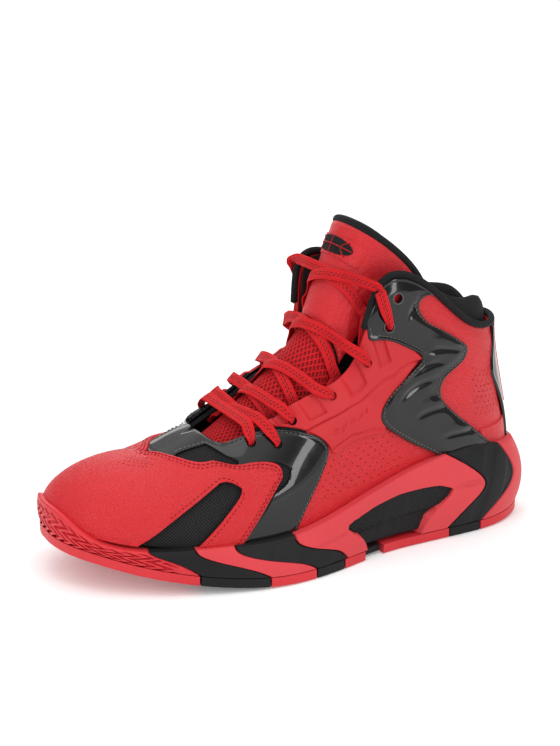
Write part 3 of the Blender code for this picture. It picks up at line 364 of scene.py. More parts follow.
# The last, at stations 0 (toe tip) to 15 (heel): feather line x, y, z, then the two handles of the section
# that climbs from it: outward and up at the bottom, outward and up at the top.
HEEL = 15
SECTIONS = np.array((
    (0, -147, 33, 6, 15, 30, 2),
    (18, -143, 32, 6, 15, 29, 2),
    (31.5, -131, 29, 5, 16, 28, 1),
    (39.5, -111, 24.5, 5, 20, 27, 0),
    (44, -88, 20.5, 4, 27, 27, 0),
    (46, -66, 18, 4, 32, 27, 1),
    (45.5, -43, 18, 4, 34, 16, -5),
    (43, -18, 19, 4, 34, 11, -10),
    (39, 8, 20, 3, 36, 8, -14),
    (36, 34, 22, 3, 38, 6, -18),
    (34, 57, 23, 3, 38, 1, -36),
    (33, 80, 24, 3, 38, -1, -34),
    (31.5, 101, 25, 3, 36, -1, -32),
    (26.5, 121, 26, 3, 36, -1, -32),
    (15.5, 136, 27, 3, 36, 0, -32),
    (0, 142, 27, 3, 36, 0, -32),
), float)
POLE = np.array((0, -93, 66.0))
THROAT = np.array((0, -66, 79.0))
POLE_STATION, THROAT_STATION, EYESTAY_STATION = 3, 5, 6
# The top line behind the throat, from station 6: eyestay edge, flap, collar, heel.
TOP_LINE = np.array((
    (21, -54, 78), (25, -28, 90), (28, -8, 100), (29, 19, 116), (31, 35, 157),
    (33, 62, 157), (31, 92, 133), (24, 113, 124), (13, 125, 124), (0, 129, 125),
), float)
# How far the medial side's top line stands from the mirrored lateral one: out, back, up.
MEDIAL_SHIFT = np.array((
    (0, 0, 0), (0, 0, 0), (0, 0, 0), (0, 0, 0), (0, 0, 0), (0, 0, 0), (0, -4, 3), (1, -5, 4), (1, -6, 4),
    (2, -10, 4), (4, -18, 3), (3, -16, 3), (0, -8, 2), (0, 0, 0), (0, 0, 0), (0, 0, 0),
), float)
# The sole's edge on the ground: x, y, and how far it is sprung off the ground.
SOLE_EDGE = np.array((
    (0, -150, 21), (20, -146.5, 20), (35, -135, 17.5), (45.5, -115, 12), (52, -90, 6.5), (56, -64, 2.5),
    (57.5, -38, 0.4), (54, -12, 0), (47, 14, 0), (41, 38, 0), (39.3, 60, 0), (38.6, 82, 0),
    (37.5, 103, 0), (33, 124, 0.6), (20, 143, 2), (0, 150, 3),
), float)
# The midsole wall's rim: its height on the upper, and how far the wall swells out below it.
RIM = np.array((
    (42, 0.5), (40, 1), (31, 1), (26, 1), (25, 1), (25, 1), (25, 1), (27, 1),
    (33, 1), (41, 1), (47, 1.5), (52, 2), (54, 3), (51, 4), (48, 5), (47, 5),
), float)
# The middle of the shoe, seen from above: x at evenly spaced y.
SPINE = np.array(((-15, -152), (-8.5, -120), (-2, -88), (2.5, -56), (4.5, -24), (4.5, 8), (3, 40), (1.5, 72),
                  (0.5, 104), (0, 136)), float)


def spline(rows, at):
    """A smooth curve through evenly spaced rows, with no bend at its two ends. at counts rows."""
    count = len(rows)
    system = np.zeros((count, count))
    right = np.zeros_like(rows)
    for i in range(1, count - 1):
        system[i, i - 1:i + 2] = 1, 4, 1
        right[i] = 3 * (rows[i + 1] - rows[i - 1])
    system[0, :2] = 2, 1
    right[0] = 3 * (rows[1] - rows[0])
    system[-1, -2:] = 1, 2
    right[-1] = 3 * (rows[-1] - rows[-2])
    slope = np.linalg.solve(system, right)
    at = np.clip(np.asarray(at, float), 0, count - 1)
    row = np.clip(at.astype(int), 0, count - 2)
    f = (at - row)[..., None]
    return ((1 + 2 * f) * (1 - f) ** 2 * rows[row] + f * (1 - f) ** 2 * slope[row]
            + f * f * (3 - 2 * f) * rows[row + 1] - f * f * (1 - f) * slope[row + 1])


def both_ends(rows, odd):
    """The rows with three more past each end, mirrored there. Columns in odd change sign."""
    sign = np.ones(rows.shape[1])
    sign[list(odd)] = -1
    return np.concatenate([rows[3:0:-1] * sign, rows, rows[-2:-5:-1] * sign])


def station(rows, k, odd=()):
    return spline(both_ends(rows, odd), np.asarray(k, float) + 3)


def sole_edge(k):
    line = station(SOLE_EDGE, k, (0,))
    line[..., 2] = np.maximum(line[..., 2], 0)
    return line


def unit(a):
    return a / np.maximum(np.linalg.norm(a, axis=-1, keepdims=True), 1e-12)


def smoothstep(x):
    x = np.clip(x, 0, 1)
    return x * x * (3 - 2 * x)


def top_line(k):
    """The last's top line in millimetres: pole, ridge, round throat, then the spline of TOP_LINE."""
    k = np.abs(np.asarray(k, float))
    k = np.where(k > HEEL, 2 * HEEL - k, k)
    rows = np.concatenate([TOP_LINE, TOP_LINE[-2:-5:-1] * (-1, 1, 1)])
    behind = spline(rows, k - EYESTAY_STATION)
    t = np.clip((k - POLE_STATION) / (THROAT_STATION - POLE_STATION), 0, 1)[..., None]
    ridge = POLE + (THROAT - POLE) * t
    f = np.clip(k - THROAT_STATION, 0, 1)[..., None]
    start = spline(rows, 0.0)
    leave, arrive = np.array((16, 8, 0.0)), (spline(rows, 0.01) - start) / 0.01
    throat = ((1 + 2 * f) * (1 - f) ** 2 * THROAT + f * (1 - f) ** 2 * leave
              + f * f * (3 - 2 * f) * start - f * f * (1 - f) * arrive)
    k = k[..., None]
    return np.where(k < THROAT_STATION, ridge, np.where(k < EYESTAY_STATION, throat, behind))


def feather(k):
    """Feather line in millimetres, and its outward direction seen from above."""
    line = station(SECTIONS[:, :3], k, (0,))
    step = station(SECTIONS[:, :2], k + 0.01, (0,)) - station(SECTIONS[:, :2], k - 0.01, (0,))
    return line, unit(np.stack([step[..., 1], -step[..., 0]], -1))


def half(k, v):
    """The last's surface on one side, in millimetres: x outward from the spine."""
    k, v = np.broadcast_arrays(np.asarray(k, float), np.asarray(v, float))
    low, out = feather(k)
    high = top_line(k)
    reach = station(SECTIONS[:, 3:], k)
    flip = np.where((k < 0) | (k > HEEL), -1.0, 1.0)[..., None]
    high = high * np.concatenate([flip, np.ones_like(flip), np.ones_like(flip)], -1)
    first = low + np.concatenate([out * reach[..., :1], reach[..., 1:2]], -1)
    second = high + np.concatenate([out * reach[..., 2:3], reach[..., 3:]], -1)
    v = v[..., None]
    w = np.minimum(v, 1)
    bend = (1 - w) ** 3 * low + 3 * w * (1 - w) ** 2 * first + 3 * w * w * (1 - w) * second + w ** 3 * high
    return bend + 3 * (high - second) * (v - w)


def half_normal(k, v):
    k, v = np.broadcast_arrays(np.asarray(k, float), np.asarray(v, float))
    steady = np.where(k < POLE_STATION + 0.2, np.minimum(v, 0.9), v)
    e = 0.004
    along = half(k + 5 * e, steady) - half(k - 5 * e, steady)
    up = half(k, np.where(v > 0.99, v, v + e)) - half(k, v - e)
    normal = unit(np.cross(along * SCALE, up * SCALE))
    near = np.clip((v - 0.8) / 0.2, 0, 1) * np.clip((POLE_STATION + 0.6 - k) / 0.6, 0, 1)
    near = (near * near * (3 - 2 * near))[..., None]
    normal = unit(normal * (1 - near) + np.array((0, -0.15, 1)) * near)
    centre = (v >= 1) & (k <= THROAT_STATION)
    normal[..., 0] = np.where(centre, 0, normal[..., 0])
    return unit(normal)


def spine(y):
    """x of the shoe's middle line at y, all in millimetres."""
    first, last = SPINE[0, 1], SPINE[-1, 1]
    return spline(SPINE[:, :1], (y - first) / (last - first) * (len(SPINE) - 1))[..., 0]


def fold(q):
    """Station and side of q, which runs 0 to 15 along the lateral side and 0 to -15 along the medial one."""
    q = np.mod(np.asarray(q, float) + HEEL, 2 * HEEL) - HEEL
    return np.abs(q), np.where(q < 0, -1.0, 1.0)


def placed(p, side):
    """Half coordinates in metres to the shoe's own: left foot, toe to -y."""
    middle = spine(p[..., 1] / MM[1]) * MM[0]
    return np.stack([middle + side * p[..., 0], p[..., 1], p[..., 2]], -1) + CENTRE


def surface(q, v, lift=0.0):
    """Point of the upper at station q and height v (0 feather, 1 top line), lift metres out."""
    q, v, lift = np.broadcast_arrays(np.asarray(q, float), np.asarray(v, float), np.asarray(lift, float))
    k, side = fold(q)
    shift = station(MEDIAL_SHIFT, k) * (np.minimum(v, 1) ** 2 * smoothstep(k - THROAT_STATION))[..., None]
    p = half(k, v) + np.where(side[..., None] < 0, shift, 0)
    centre = (v >= 1) & (k <= THROAT_STATION)
    p[..., 0] = np.where(centre, 0, p[..., 0])
    return placed(p * MM + half_normal(k, v) * lift[..., None], side)


def height_on_last(k, z):
    """v at which the last's surface passes z millimetres."""
    steps = np.linspace(0, 0.7, 71)
    heights = half(np.ravel(k)[:, None], steps)[..., 2]
    return np.array([np.interp(zz, hh, steps) for zz, hh in zip(np.ravel(z), heights)]).reshape(np.shape(k))


def wall_outer(q, w):
    """Outer face of the midsole wall: w runs 0 at the outsole to 1 at the rim."""
    k, side = fold(q)
    k, w, side = np.broadcast_arrays(k, np.asarray(w, float), side)
    edge = sole_edge(k) * MM
    edge[..., 2] += OUTSOLE + GAP
    rim = station(RIM, k)
    v = height_on_last(k, rim[..., 0])
    top = half(k, v) * MM + half_normal(k, v) * (WALL_LIFT + RIM_WALL)
    _, out = feather(k)
    w = w[..., None]
    p = edge + (top - edge) * w
    p[..., :2] += out * rim[..., 1:] * NOMINAL * 4 * w * (1 - w)
    return placed(p, side)


def wall_inner(q, w):
    """Inner face of the same wall: up beside the midsole core, out under the upper's edge, then up along it."""
    k, side = fold(q)
    k, w, side = np.broadcast_arrays(k, np.asarray(w, float), side)
    rim_v = height_on_last(k, station(RIM, k)[..., 0])
    line, out = feather(k)
    low = line * MM
    low[..., :2] -= out * CORE_INSET * 0.7
    floor = low.copy()
    floor[..., 2] = sole_edge(k)[..., 2] * MM[2] + OUTSOLE + GAP
    low[..., 2] -= 0.0007
    rise = np.clip((w - 0.4) / 0.6, 0, 1)
    v = 0.008 + (rim_v - 0.008) * rise
    high = half(k, v) * MM + half_normal(k, v) * WALL_LIFT
    lower = np.clip(w / 0.2, 0, 1)[..., None]
    p = np.where((w < 0.3)[..., None], floor + (low - floor) * lower, high)
    return placed(p, side)


print("top of the tongue's throat at", np.round(surface(5.0, 1.0) * 1000, 1))

# %% [markdown]
# ## Outlines of the panels
#
# Each panel is the patch of the last between two runs of corners, given as (station, height). The corners are
# few, and the outline through them is rounded afterwards, as a cutting knife would round it.

# %% Outlines
SIDES = (("lateral", 1), ("medial", -1))
# Blocks of the midsole wall: where each joint between blocks stands at five heights, bottom to rim.
JOINTS = {
    "toe": (4.25, 4.0, 3.66, 3.3, 3.15),
    "ball": (5.72, 5.35, 4.75, 4.3, 4.18),
    "joint": (6.85, 6.5, 5.8, 5.25, 5.15),
    "waist": (7.7, 7.5, 7.0, 6.65, 6.65),
    "arch": (11.0, 11.7, 12.25, 11.8, 11.1),
    "heel": (12.2, 12.85, 13.35, 13.3, 12.95),
}
WALL_BLOCKS = (
    ("midsole_ball_black", "toe", "ball"),
    ("midsole_joint_coral", "ball", "joint"),
    ("midsole_waist_black", "joint", "waist"),
    ("midsole_arch_coral", "waist", "arch"),
    ("midsole_chevron_black", "arch", "heel"),
)
WALL_JOINT = 0.02
# The window in the arch block and the black insert set into it: lower and upper edge, as (station, w).
WINDOW_LOW = ((7.95, 0.52), (8.26, 0.25), (8.32, -0.2), (9.9, -0.2), (10.36, 0.19), (10.7, 0.33),
              (11.1, 0.46))
WINDOW_HIGH = ((7.96, 0.62), (8.2, 0.71), (8.7, 0.75), (9.5, 0.74), (10.3, 0.68), (10.8, 0.63), (11.16, 0.56))
OUTSOLE_BLOCKS = (
    ("outsole_toe", 0.25, 4.25, 8),
    ("outsole_ball_black", 4.25, 5.72, 3),
    ("outsole_joint_red", 5.72, 6.85, 3),
    ("outsole_waist_black", 6.85, 7.62, 2),
    ("outsole_waist_tip", 7.62, 8.28, 2),
    ("outsole_heel_front", 8.85, 11.05, 4),
    ("outsole_heel_black", 11.05, 12.15, 2),
    ("outsole_heel_back", 12.15, 14.75, 6),
)
CAP_LOW = tuple((k, 0.03) for k in (0, 0.7, 1.4, 2.0, 2.5, 2.8, 3.0, 3.2, 3.4, 3.55, 3.7, 3.85, 4.0, 4.2, 4.4,
                                    4.65, 4.9, 5.1, 5.3))
CAP_HIGH = ((0, 1), (0.7, 1), (1.4, 1), (2.1, 1), (2.6, 1), (2.95, 1), (3.2, 0.985), (3.5, 0.89),
            (3.9, 0.785), (4.2, 0.71),
            (4.5, 0.645), (4.88, 0.605), (5.33, 0.62), (5.75, 0.668), (6.15, 0.64), (6.45, 0.595),
            (6.62, 0.555), (6.68, 0.5), (6.6, 0.44))
SLIT_LOW = ((3.0, -0.05), (3.9, -0.05), (4.35, 0.1), (4.88, 0.21), (5.4, 0.33), (5.6, 0.4), (5.62, 0.43))
SLIT_HIGH = ((2.95, 0.05), (3.52, 0.23), (3.98, 0.32), (4.75, 0.425), (5.2, 0.475), (5.5, 0.475),
             (5.62, 0.44))
SADDLE_FRONT = ((3.1, 1), (3.35, 0.84), (3.7, 0.7), (4.2, 0.585), (4.9, 0.545), (5.6, 0.545), (6.1, 0.53),
                (6.35, 0.48),
                (6.3, 0.39), (6.0, 0.26), (5.6, 0.14), (5.2, 0.03))
SADDLE_REAR = ((4.75, 1), (5.05, 0.965), (5.45, 0.955), (5.95, 0.955), (6.4, 0.93), (6.9, 0.83), (7.45, 0.71),
               (7.95, 0.6),
               (8.03, 0.49), (7.6, 0.36), (7.1, 0.21), (6.7, 0.03))
VAMP_TOP = ((0, 1), (0.6, 1), (1.2, 1), (1.8, 1), (2.4, 1), (3.0, 1), (3.5, 1), (4.0, 1), (4.4, 1), (4.75, 1),
            (5.05, 0.955),
            (5.35, 0.945), (5.7, 0.94), (6.1, 0.95), (6.5, 0.97), (7.0, 0.985), (7.5, 0.985), (8.0, 0.985))
LINING_DROP = 0.015
ALMOND = (((3.85, 0.76), (4.2, 0.6), (4.8, 0.5), (5.3, 0.5), (5.7, 0.58), (5.86, 0.66)),
          ((3.9, 0.79), (4.2, 0.808), (4.75, 0.765), (5.35, 0.76), (5.72, 0.765), (5.88, 0.69)))
TEARDROP = (((6.2, 0.33), (6.5, 0.36), (6.68, 0.385), (6.8, 0.425), (6.86, 0.47)),
            ((6.2, 0.62), (6.45, 0.59), (6.62, 0.565), (6.77, 0.535), (6.86, 0.49)))
CAGE_LOW = ((6.62, 0.93), (7.1, 0.81), (7.6, 0.7), (8.0, 0.56), (8.03, 0.44), (8.3, 0.487), (8.75, 0.485),
            (9.38, 0.41))
CAGE_HIGH = ((6.75, 0.965), (7.4, 0.985), (8.6, 0.985), (9.2, 0.985), (9.55, 0.975), (9.75, 0.85),
             (10.3, 0.72), (10.9, 0.63))
STRAP_FRONT = ((9.5, 0.985), (9.5, 0.93), (9.5, 0.88), (9.62, 0.83), (9.95, 0.75), (10.5, 0.672),
               (10.7, 0.655), (10.84, 0.645),
               (10.82, 0.615), (10.5, 0.57), (10.15, 0.54), (9.8, 0.53), (9.48, 0.525), (9.33, 0.48),
               (9.6, 0.39), (10.2, 0.29), (10.62, 0.247),
               (11.05, 0.205), (11.32, 0.152), (11.6, 0.1))
STRAP_REAR = ((11.3, 0.985), (11.05, 0.93), (10.9, 0.87), (10.95, 0.825), (11.15, 0.8), (11.5, 0.825),
              (11.85, 0.845), (12.2, 0.845),
              (12.05, 0.755), (11.75, 0.67), (11.5, 0.61), (11.3, 0.555), (11.2, 0.51), (11.2, 0.465),
              (11.5, 0.425), (12.1, 0.37),
              (12.55, 0.292), (13.0, 0.215), (13.3, 0.157), (13.6, 0.1))
STRIP_EDGE = ((14.25, 0.1), (14.15, 0.33), (13.68, 0.52), (13.25, 0.66), (13.35, 0.76), (13.7, 0.86),
              (13.85, 0.985))
EYELETS = ((6.3, 0.81), (6.77, 0.70), (7.33, 0.83), (8.43, 0.87), (9.36, 0.8), (10.12, 0.79), (10.42, 0.89))
RINGED = 5

# The tongue's middle line as (y, z) in millimetres, and at each point its half-width, crown and straight wing.
TONGUE = np.array((
    (-63, 69, 18.5, 9, 0), (-47, 81, 21.5, 17, 0), (-31, 95, 22.6, 22, 0), (-14, 110, 22, 22, 0),
    (1, 126, 20.5, 18, 3),
    (10, 143, 20.5, 15, 12), (17, 160, 21, 14, 26), (24, 176, 22, 14, 38), (30, 190, 23, 13, 44),
), float)
TONGUE_SPLIT = 0.56


def tongue(s, t, lift=0.0):
    """Point of the tongue's outer face: s runs -1 medial to 1 lateral, t from its seam to its top edge."""
    s, t = np.broadcast_arrays(np.asarray(s, float), np.asarray(t, float))
    last = len(TONGUE) - 1
    t = t * (1 - 0.14 * np.abs(s) ** 1.8)
    row = spline(TONGUE, t * last)
    run = unit(spline(TONGUE[:, :2], np.clip(t * last + 0.05, 0, last)) - spline(TONGUE[:, :2],
                                                                                 np.clip(t * last - 0.05, 0,
                                                                                         last)))
    into = np.stack([run[..., 1], -run[..., 0]], -1)
    wide, deep, wing = row[..., 2], row[..., 3], np.maximum(row[..., 4], 0)
    arc = np.pi / 2 * np.sqrt((wide * wide + deep * deep) / 2)
    length = np.abs(s) * (arc * np.where(wing > 0, 1, 0.98) + wing)
    turn = np.clip(length / arc, 0, 1) * np.pi / 2
    past = np.clip(length - arc, 0, None)
    drop = deep * (1 - np.cos(turn)) + past - lift / NOMINAL * np.cos(turn)
    x = np.sign(s) * (wide * np.sin(turn) + lift / NOMINAL * np.sin(turn))
    middle = spine(row[..., 0]) * smoothstep(1 - t)
    p = np.stack([x + middle, row[..., 0] + into[..., 0] * drop, row[..., 1] + into[..., 1] * drop], -1)
    return p * MM + CENTRE


# %% [markdown]
# ## From grids to meshes
#
# Every piece is a grid of points worked out at once. shell() joins an outer and an inner grid with a rim into a
# closed skin, stores the place on the last as a UV map in millimetres, and hands the piece to the body it
# rides on.

# %% Shells, tubes and how they ride
def finish_mesh(name, mesh, look, body, nodes, angle=40):
    mesh.materials.append(look)
    mesh.polygons.foreach_set("use_smooth", [True] * len(mesh.polygons))
    mesh.set_sharp_from_angle(angle=np.radians(angle))
    piece = bpy.data.objects.new(name, mesh)
    bpy.context.scene.collection.objects.link(piece)
    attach(piece, body)
    if nodes:
        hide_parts(*nodes)
    return piece


def shell(name, outer, inner, look, body="shoe", nodes=(), uv=None, weld=False, angle=40):
    """A closed skin: the outer grid, the inner grid turned to face the other way, and quads round the rim."""
    rows, columns = outer.shape[:2]
    index = np.arange(rows * columns).reshape(rows, columns)
    quads = np.stack([index[:-1, :-1], index[1:, :-1], index[1:, 1:], index[:-1, 1:]], -1).reshape(-1, 4)
    rim = np.concatenate([index[:, 0], index[-1, 1:], index[-2::-1, -1], index[0, -2:0:-1]])
    after, back = np.roll(rim, -1), rows * columns
    walls = np.stack([after, rim, rim + back, after + back], -1)
    mesh = bpy.data.meshes.new(name)
    points = np.concatenate([outer.reshape(-1, 3), inner.reshape(-1, 3)])
    mesh.from_pydata(points, [], np.concatenate([quads, quads[:, ::-1] + back, walls]).tolist())
    if uv is not None:
        corner = np.empty(len(mesh.loops), np.int32)
        mesh.loops.foreach_get("vertex_index", corner)
        flat = np.concatenate([uv.reshape(-1, 2)] * 2)[corner]
        mesh.uv_layers.new(name="UVMap").data.foreach_set("uv", flat.astype(np.float32).ravel())
    if weld:
        form = bmesh.new()
        form.from_mesh(mesh)
        bmesh.ops.remove_doubles(form, verts=form.verts, dist=2e-6)
        form.to_mesh(mesh)
        form.free()
    mesh.validate()
    return finish_mesh(name, mesh, look, body, nodes, angle)


def frames(path, up):
    """Tangent, side and up unit vectors along a path, up kept square to the run."""
    run = unit(np.gradient(path, axis=0))
    side = unit(np.cross(run, up))
    return run, side, np.cross(side, run)


def tube(name, path, radii, look, body="shoe", nodes=(), sides=14, up=(0, 0, 1)):
    """A round section carried along a path: centre + r cos a side + r sin a up, closed to a point at both ends."""
    radii = np.broadcast_to(np.asarray(radii, float), len(path)).copy()
    ends = path[0] - unit(path[1] - path[0]) * radii[0] * 0.5, path[-1] + unit(path[-1]
                                                                               - path[-2]) * radii[-1] * 0.5
    path = np.concatenate([ends[:1], path, ends[1:]])
    radii = np.concatenate([[radii[0] * 0.05], radii, [radii[-1] * 0.05]])
    _, side, top = frames(path, np.broadcast_to(np.asarray(up, float), path.shape))
    a = np.linspace(0, 2 * np.pi, sides, endpoint=False)[None, :, None]
    rings = path[:, None] + radii[:, None, None] * (np.cos(a) * side[:, None] + np.sin(a) * top[:, None])
    index = np.arange(rings.shape[0] * sides).reshape(-1, sides)
    turned = np.roll(index, -1, axis=1)
    quads = np.stack([index[:-1], turned[:-1], turned[1:], index[1:]], -1).reshape(-1, 4)
    mesh = bpy.data.meshes.new(name)
    mesh.from_pydata(rings.reshape(-1, 3), [], quads.tolist() + [index[0, ::-1].tolist(), index[-1].tolist()])
    reach = np.concatenate([[0], np.cumsum(np.linalg.norm(np.diff(path, axis=0), axis=1))]) * 1000
    corner = np.empty(len(mesh.loops), np.int32)
    mesh.loops.foreach_get("vertex_index", corner)
    flat = np.stack([reach[corner // sides], (corner % sides) / sides * 2 * np.pi * radii.max() * 1000], -1)
    mesh.uv_layers.new(name="UVMap").data.foreach_set("uv", flat.astype(np.float32).ravel())
    return finish_mesh(name, mesh, look, body, nodes, 80)


# %% [markdown]
# ## Panels with turned edges
#
# A cut sheet of leather is not a knife edge. Its edge is skived and turned under, and the stitch row beside it
# pulls a shallow valley. Both are functions of one number, the distance to the panel's edge, so each panel
# carries that distance on its grid.

# %% Patches, turned edges and cutters
def softened(corners, s, paired, soft):
    """The outline at share s of its run, averaged over a short stretch either side, which rounds its corners."""
    corners = np.array(corners, float)
    step = np.hypot(np.diff(corners[:, 0]) * 18, np.diff(corners[:, 1]) * 100)
    step = np.ones_like(step) if paired else step
    reach = np.concatenate([[0], np.cumsum(step)])
    reach = np.concatenate([[-reach[1]], reach, [2 * reach[-1] - reach[-2]]])
    ends = np.concatenate([[2 * corners[0] - corners[1]], corners, [2 * corners[-1] - corners[-2]]])
    at = s[:, None] * reach[-2] + np.linspace(-soft, soft, 9) * (1 if paired else 6)
    return np.stack([np.interp(at, reach, ends[:, i]).mean(axis=1) for i in (0, 1)], -1)


def patch_grid(low, high, side, columns, rows, soft=0.45):
    """(q, v) on a grid between two outlines, and the distance of each point to the patch's edge in metres."""
    first = -1 if side == 0 else 0
    s = np.linspace(first, 1, columns)
    x = np.linspace(0, 1, rows)
    w = 0.45 * x + 0.55 * (0.5 - 0.5 * np.cos(np.pi * x))
    paired = len(low) == len(high)
    below, above = (softened(edge, np.abs(s), paired, soft) for edge in (low, high))
    grid = below[:, None] + (above - below)[:, None] * w[:, None]
    sign = np.where(s < 0, -1.0, 1.0) if side == 0 else np.full(columns, float(side))
    grid[..., 0] *= sign[:, None]
    skin = surface(grid[..., 0], grid[..., 1])
    wide = np.linalg.norm(skin[:, -1] - skin[:, 0], axis=-1)[:, None]
    middle = skin[:, rows // 2]
    reach = np.concatenate([[0], np.cumsum(np.linalg.norm(np.diff(middle, axis=0), axis=1))])
    end = np.minimum(reach, reach[-1] - reach)[:, None]
    distance = np.minimum(np.minimum(w * wide, (1 - w) * wide), end)
    turn = slice(None, None, -1) if side < 0 else slice(None)
    return grid[turn, :, 0], grid[turn, :, 1], distance[turn]


def turned_edge(distance, thickness, valley=0.00022, at=0.0024):
    """Height lost near an edge: a quarter round to the layer below, and a valley along the stitch row."""
    x = np.clip(distance / 0.0011, 0, 1)
    return -(thickness + GAP * 0.8) * (1 - np.sqrt(1 - (1 - x) ** 2)) - valley * np.exp(-(((distance
                                                                                            - at) / 0.0008) ** 2))


def on_last(q, v):
    return np.stack([q * 18.0, v * 95.0], -1)


def panel(name, low, high, side, lift, look, nodes, columns=160, rows=36, relief=None, soft=0.45,
          thickness=LEATHER, valley=0.00022):
    q, v, distance = patch_grid(low, high, side, columns, rows, soft)
    height = lift + turned_edge(distance, thickness, valley)
    if relief is not None:
        height = height + relief(np.abs(q), v, distance)
    outer = surface(q, v, height)
    inner = surface(q, v, np.minimum(lift - thickness * 0.9, height - 0.0004))
    return shell(name, outer, inner, look, "shoe", nodes, on_last(q, v), weld=side == 0)


def cutter(name, low, high, side, soft=0.45, above=0.005, below=-0.0035):
    q, v, _ = patch_grid(low, high, side, 60, 16, soft)
    piece = shell(name, surface(q, v, above), surface(q, v, below), BLACK_MESH)
    return piece


def cut_out(piece, cutters):
    """Cuts the cutters out of the piece, bakes the result into its mesh and throws the cutters away."""
    for other in cutters:
        hole = piece.modifiers.new("cut", "BOOLEAN")
        hole.object, hole.operation, hole.solver = other, "DIFFERENCE", "EXACT"
    evaluated = piece.evaluated_get(bpy.context.evaluated_depsgraph_get())
    piece.data = bpy.data.meshes.new_from_object(evaluated)
    piece.modifiers.clear()
    for other in cutters:
        bpy.data.objects.remove(other)


def bore(side, number, radius=EYELET_BORE):
    """A round cutter down an eyelet."""
    k, v = EYELETS[number]
    centre = surface(side * k, v)
    axis = unit(surface(side * k, v, 0.002) - centre)
    form = bmesh.new()
    bmesh.ops.create_cone(form, cap_ends=True, segments=40, radius1=radius, radius2=radius, depth=0.012)
    turn = Vector(axis).to_track_quat("Z", "Y").to_matrix().to_4x4()
    turn.translation = centre
    bmesh.ops.transform(form, matrix=turn, verts=form.verts)
    mesh = bpy.data.meshes.new("bore")
    form.to_mesh(mesh)
    form.free()
    piece = bpy.data.objects.new("bore", mesh)
    bpy.context.scene.collection.objects.link(piece)
    return piece


# %% [markdown]
# ## Mesh base, linings and red quarters
#
# The black mesh runs from side to side under the toe cap and the saddle and shows through their windows. The
# red quarters behind it swell a little over the collar's foam.

# %% Base layer
def low_edge(top):
    return tuple((k, 0.03) for k, _ in top)


inner_top = tuple((min(k, 7.9), v - LINING_DROP * (THROAT_STATION < k < 7)) for k, v in VAMP_TOP)
panel("vamp_base", low_edge(VAMP_TOP), VAMP_TOP, 0, BASE_LIFT, BLACK_MESH, ["vamp_mesh"], 260, 60, soft=0.2,
      valley=0)
panel("vamp_lining_cloth", low_edge(inner_top), inner_top, 0, LINING_LIFT, BLACK_LINING, ["vamp_lining"], 200,
      40, soft=0.2,
      thickness=LINING, valley=0)


def puff(k, v, distance):
    """The quarter swells 1.2 mm where there is collar foam behind it."""
    return 0.0012 * smoothstep((k - 10.8) / 1.5) * smoothstep((v - 0.45) / 0.2) * smoothstep(distance / 0.012)


for label, side in SIDES:
    low, high = ((6.5, 0.03), (14.92, 0.03)), ((8.06, 0.985), (14.92, 0.985))
    panel(f"quarter_{label}_leather", low, high, side, BASE_LIFT + 0.0003, RED_LEATHER, [f"quarter_{label}"],
          220, 70, puff, valley=0)

# %% [markdown]
# ## Toe cap
#
# One piece of pebbled leather domes over the toe, rises to a point over the joint and is slit open low on each
# side, where the mesh shows. It lies on top of everything else at the toe.

# %% Toe cap
CAP_SHAPE = (CAP_LOW, CAP_HIGH)
toe_cap = panel("toe_cap_leather", *CAP_SHAPE, 0, OVER_LIFT, RED_LEATHER, ["toe_cap"], 320, 60, soft=0.8)
cut_out(toe_cap, [cutter(f"slit_{label}", SLIT_LOW, SLIT_HIGH, side, 0.9) for label, side in SIDES])

# %% [markdown]
# ## Patent saddle
#
# The saddle crosses the shoe behind the cap. It is black patent with two mesh windows a side, an almond under
# the laces and a teardrop at the cap's rear tip.

# %% Saddle
saddle = panel("saddle_patent", SADDLE_FRONT, SADDLE_REAR, 0, TRIM_LIFT, PATENT, ["vamp_saddle"], 300, 40)
windows = []
for label, side in SIDES:
    windows.append(cutter(f"almond_{label}", *ALMOND, side, 0.8))
    windows.append(cutter(f"teardrop_{label}", *TEARDROP, side, 0.8))
    windows += [bore(side, number) for number in (0, 1)]
cut_out(saddle, windows)


# %% [markdown]
# ## Moulded cage and patent straps
#
# The cage is moulded plastic: a band with a groove along it, and fingers that climb from the band between the
# eyelets and leave sunk bays. The strap is padded patent pressed with slanting creases. Both reliefs are
# heights worked out from the distance to a few lines drawn on the last.

# %% Reliefs, cages and straps
def line_distance(k, v, corners):
    """Signed distance in metres from (k, v) to a run of corners: which side it lies on gives the sign."""
    corners = np.array(corners, float) * (0.018, 0.095)
    p = np.stack([k * 0.018, v * 0.095], -1)
    best = np.full(k.shape, 1.0)
    signed = np.full(k.shape, 1.0)
    for a, b in zip(corners[:-1], corners[1:]):
        t = np.clip(((p - a) @ (b - a)) / ((b - a) @ (b - a)), 0, 1)[..., None]
        away = p - (a + (b - a) * t)
        distance = np.linalg.norm(away, axis=-1)
        across = (b - a)[0] * (p - a)[..., 1] - (b - a)[1] * (p - a)[..., 0]
        closer = distance < best
        signed = np.where(closer, np.sign(across) * distance, signed)
        best = np.minimum(best, distance)
    return signed


BAND = ((6.9, 0.8), (7.3, 0.71), (7.62, 0.695), (8.18, 0.705), (8.68, 0.705), (9.22, 0.66), (9.6, 0.62),
        (10.03, 0.585), (10.8, 0.615))
RIB = ((8.0, 0.48), (8.18, 0.505), (8.55, 0.525), (9.0, 0.49), (9.4, 0.435))
CREASES = (((10.9, 0.655), (12.0, 0.8)), ((10.45, 0.56), (11.45, 0.66)), ((9.9, 0.475), (11.2, 0.56)),
           ((10.2, 0.385), (11.6, 0.45)), ((10.9, 0.29), (12.3, 0.36)), ((10.55, 0.79), (10.95, 0.88)))


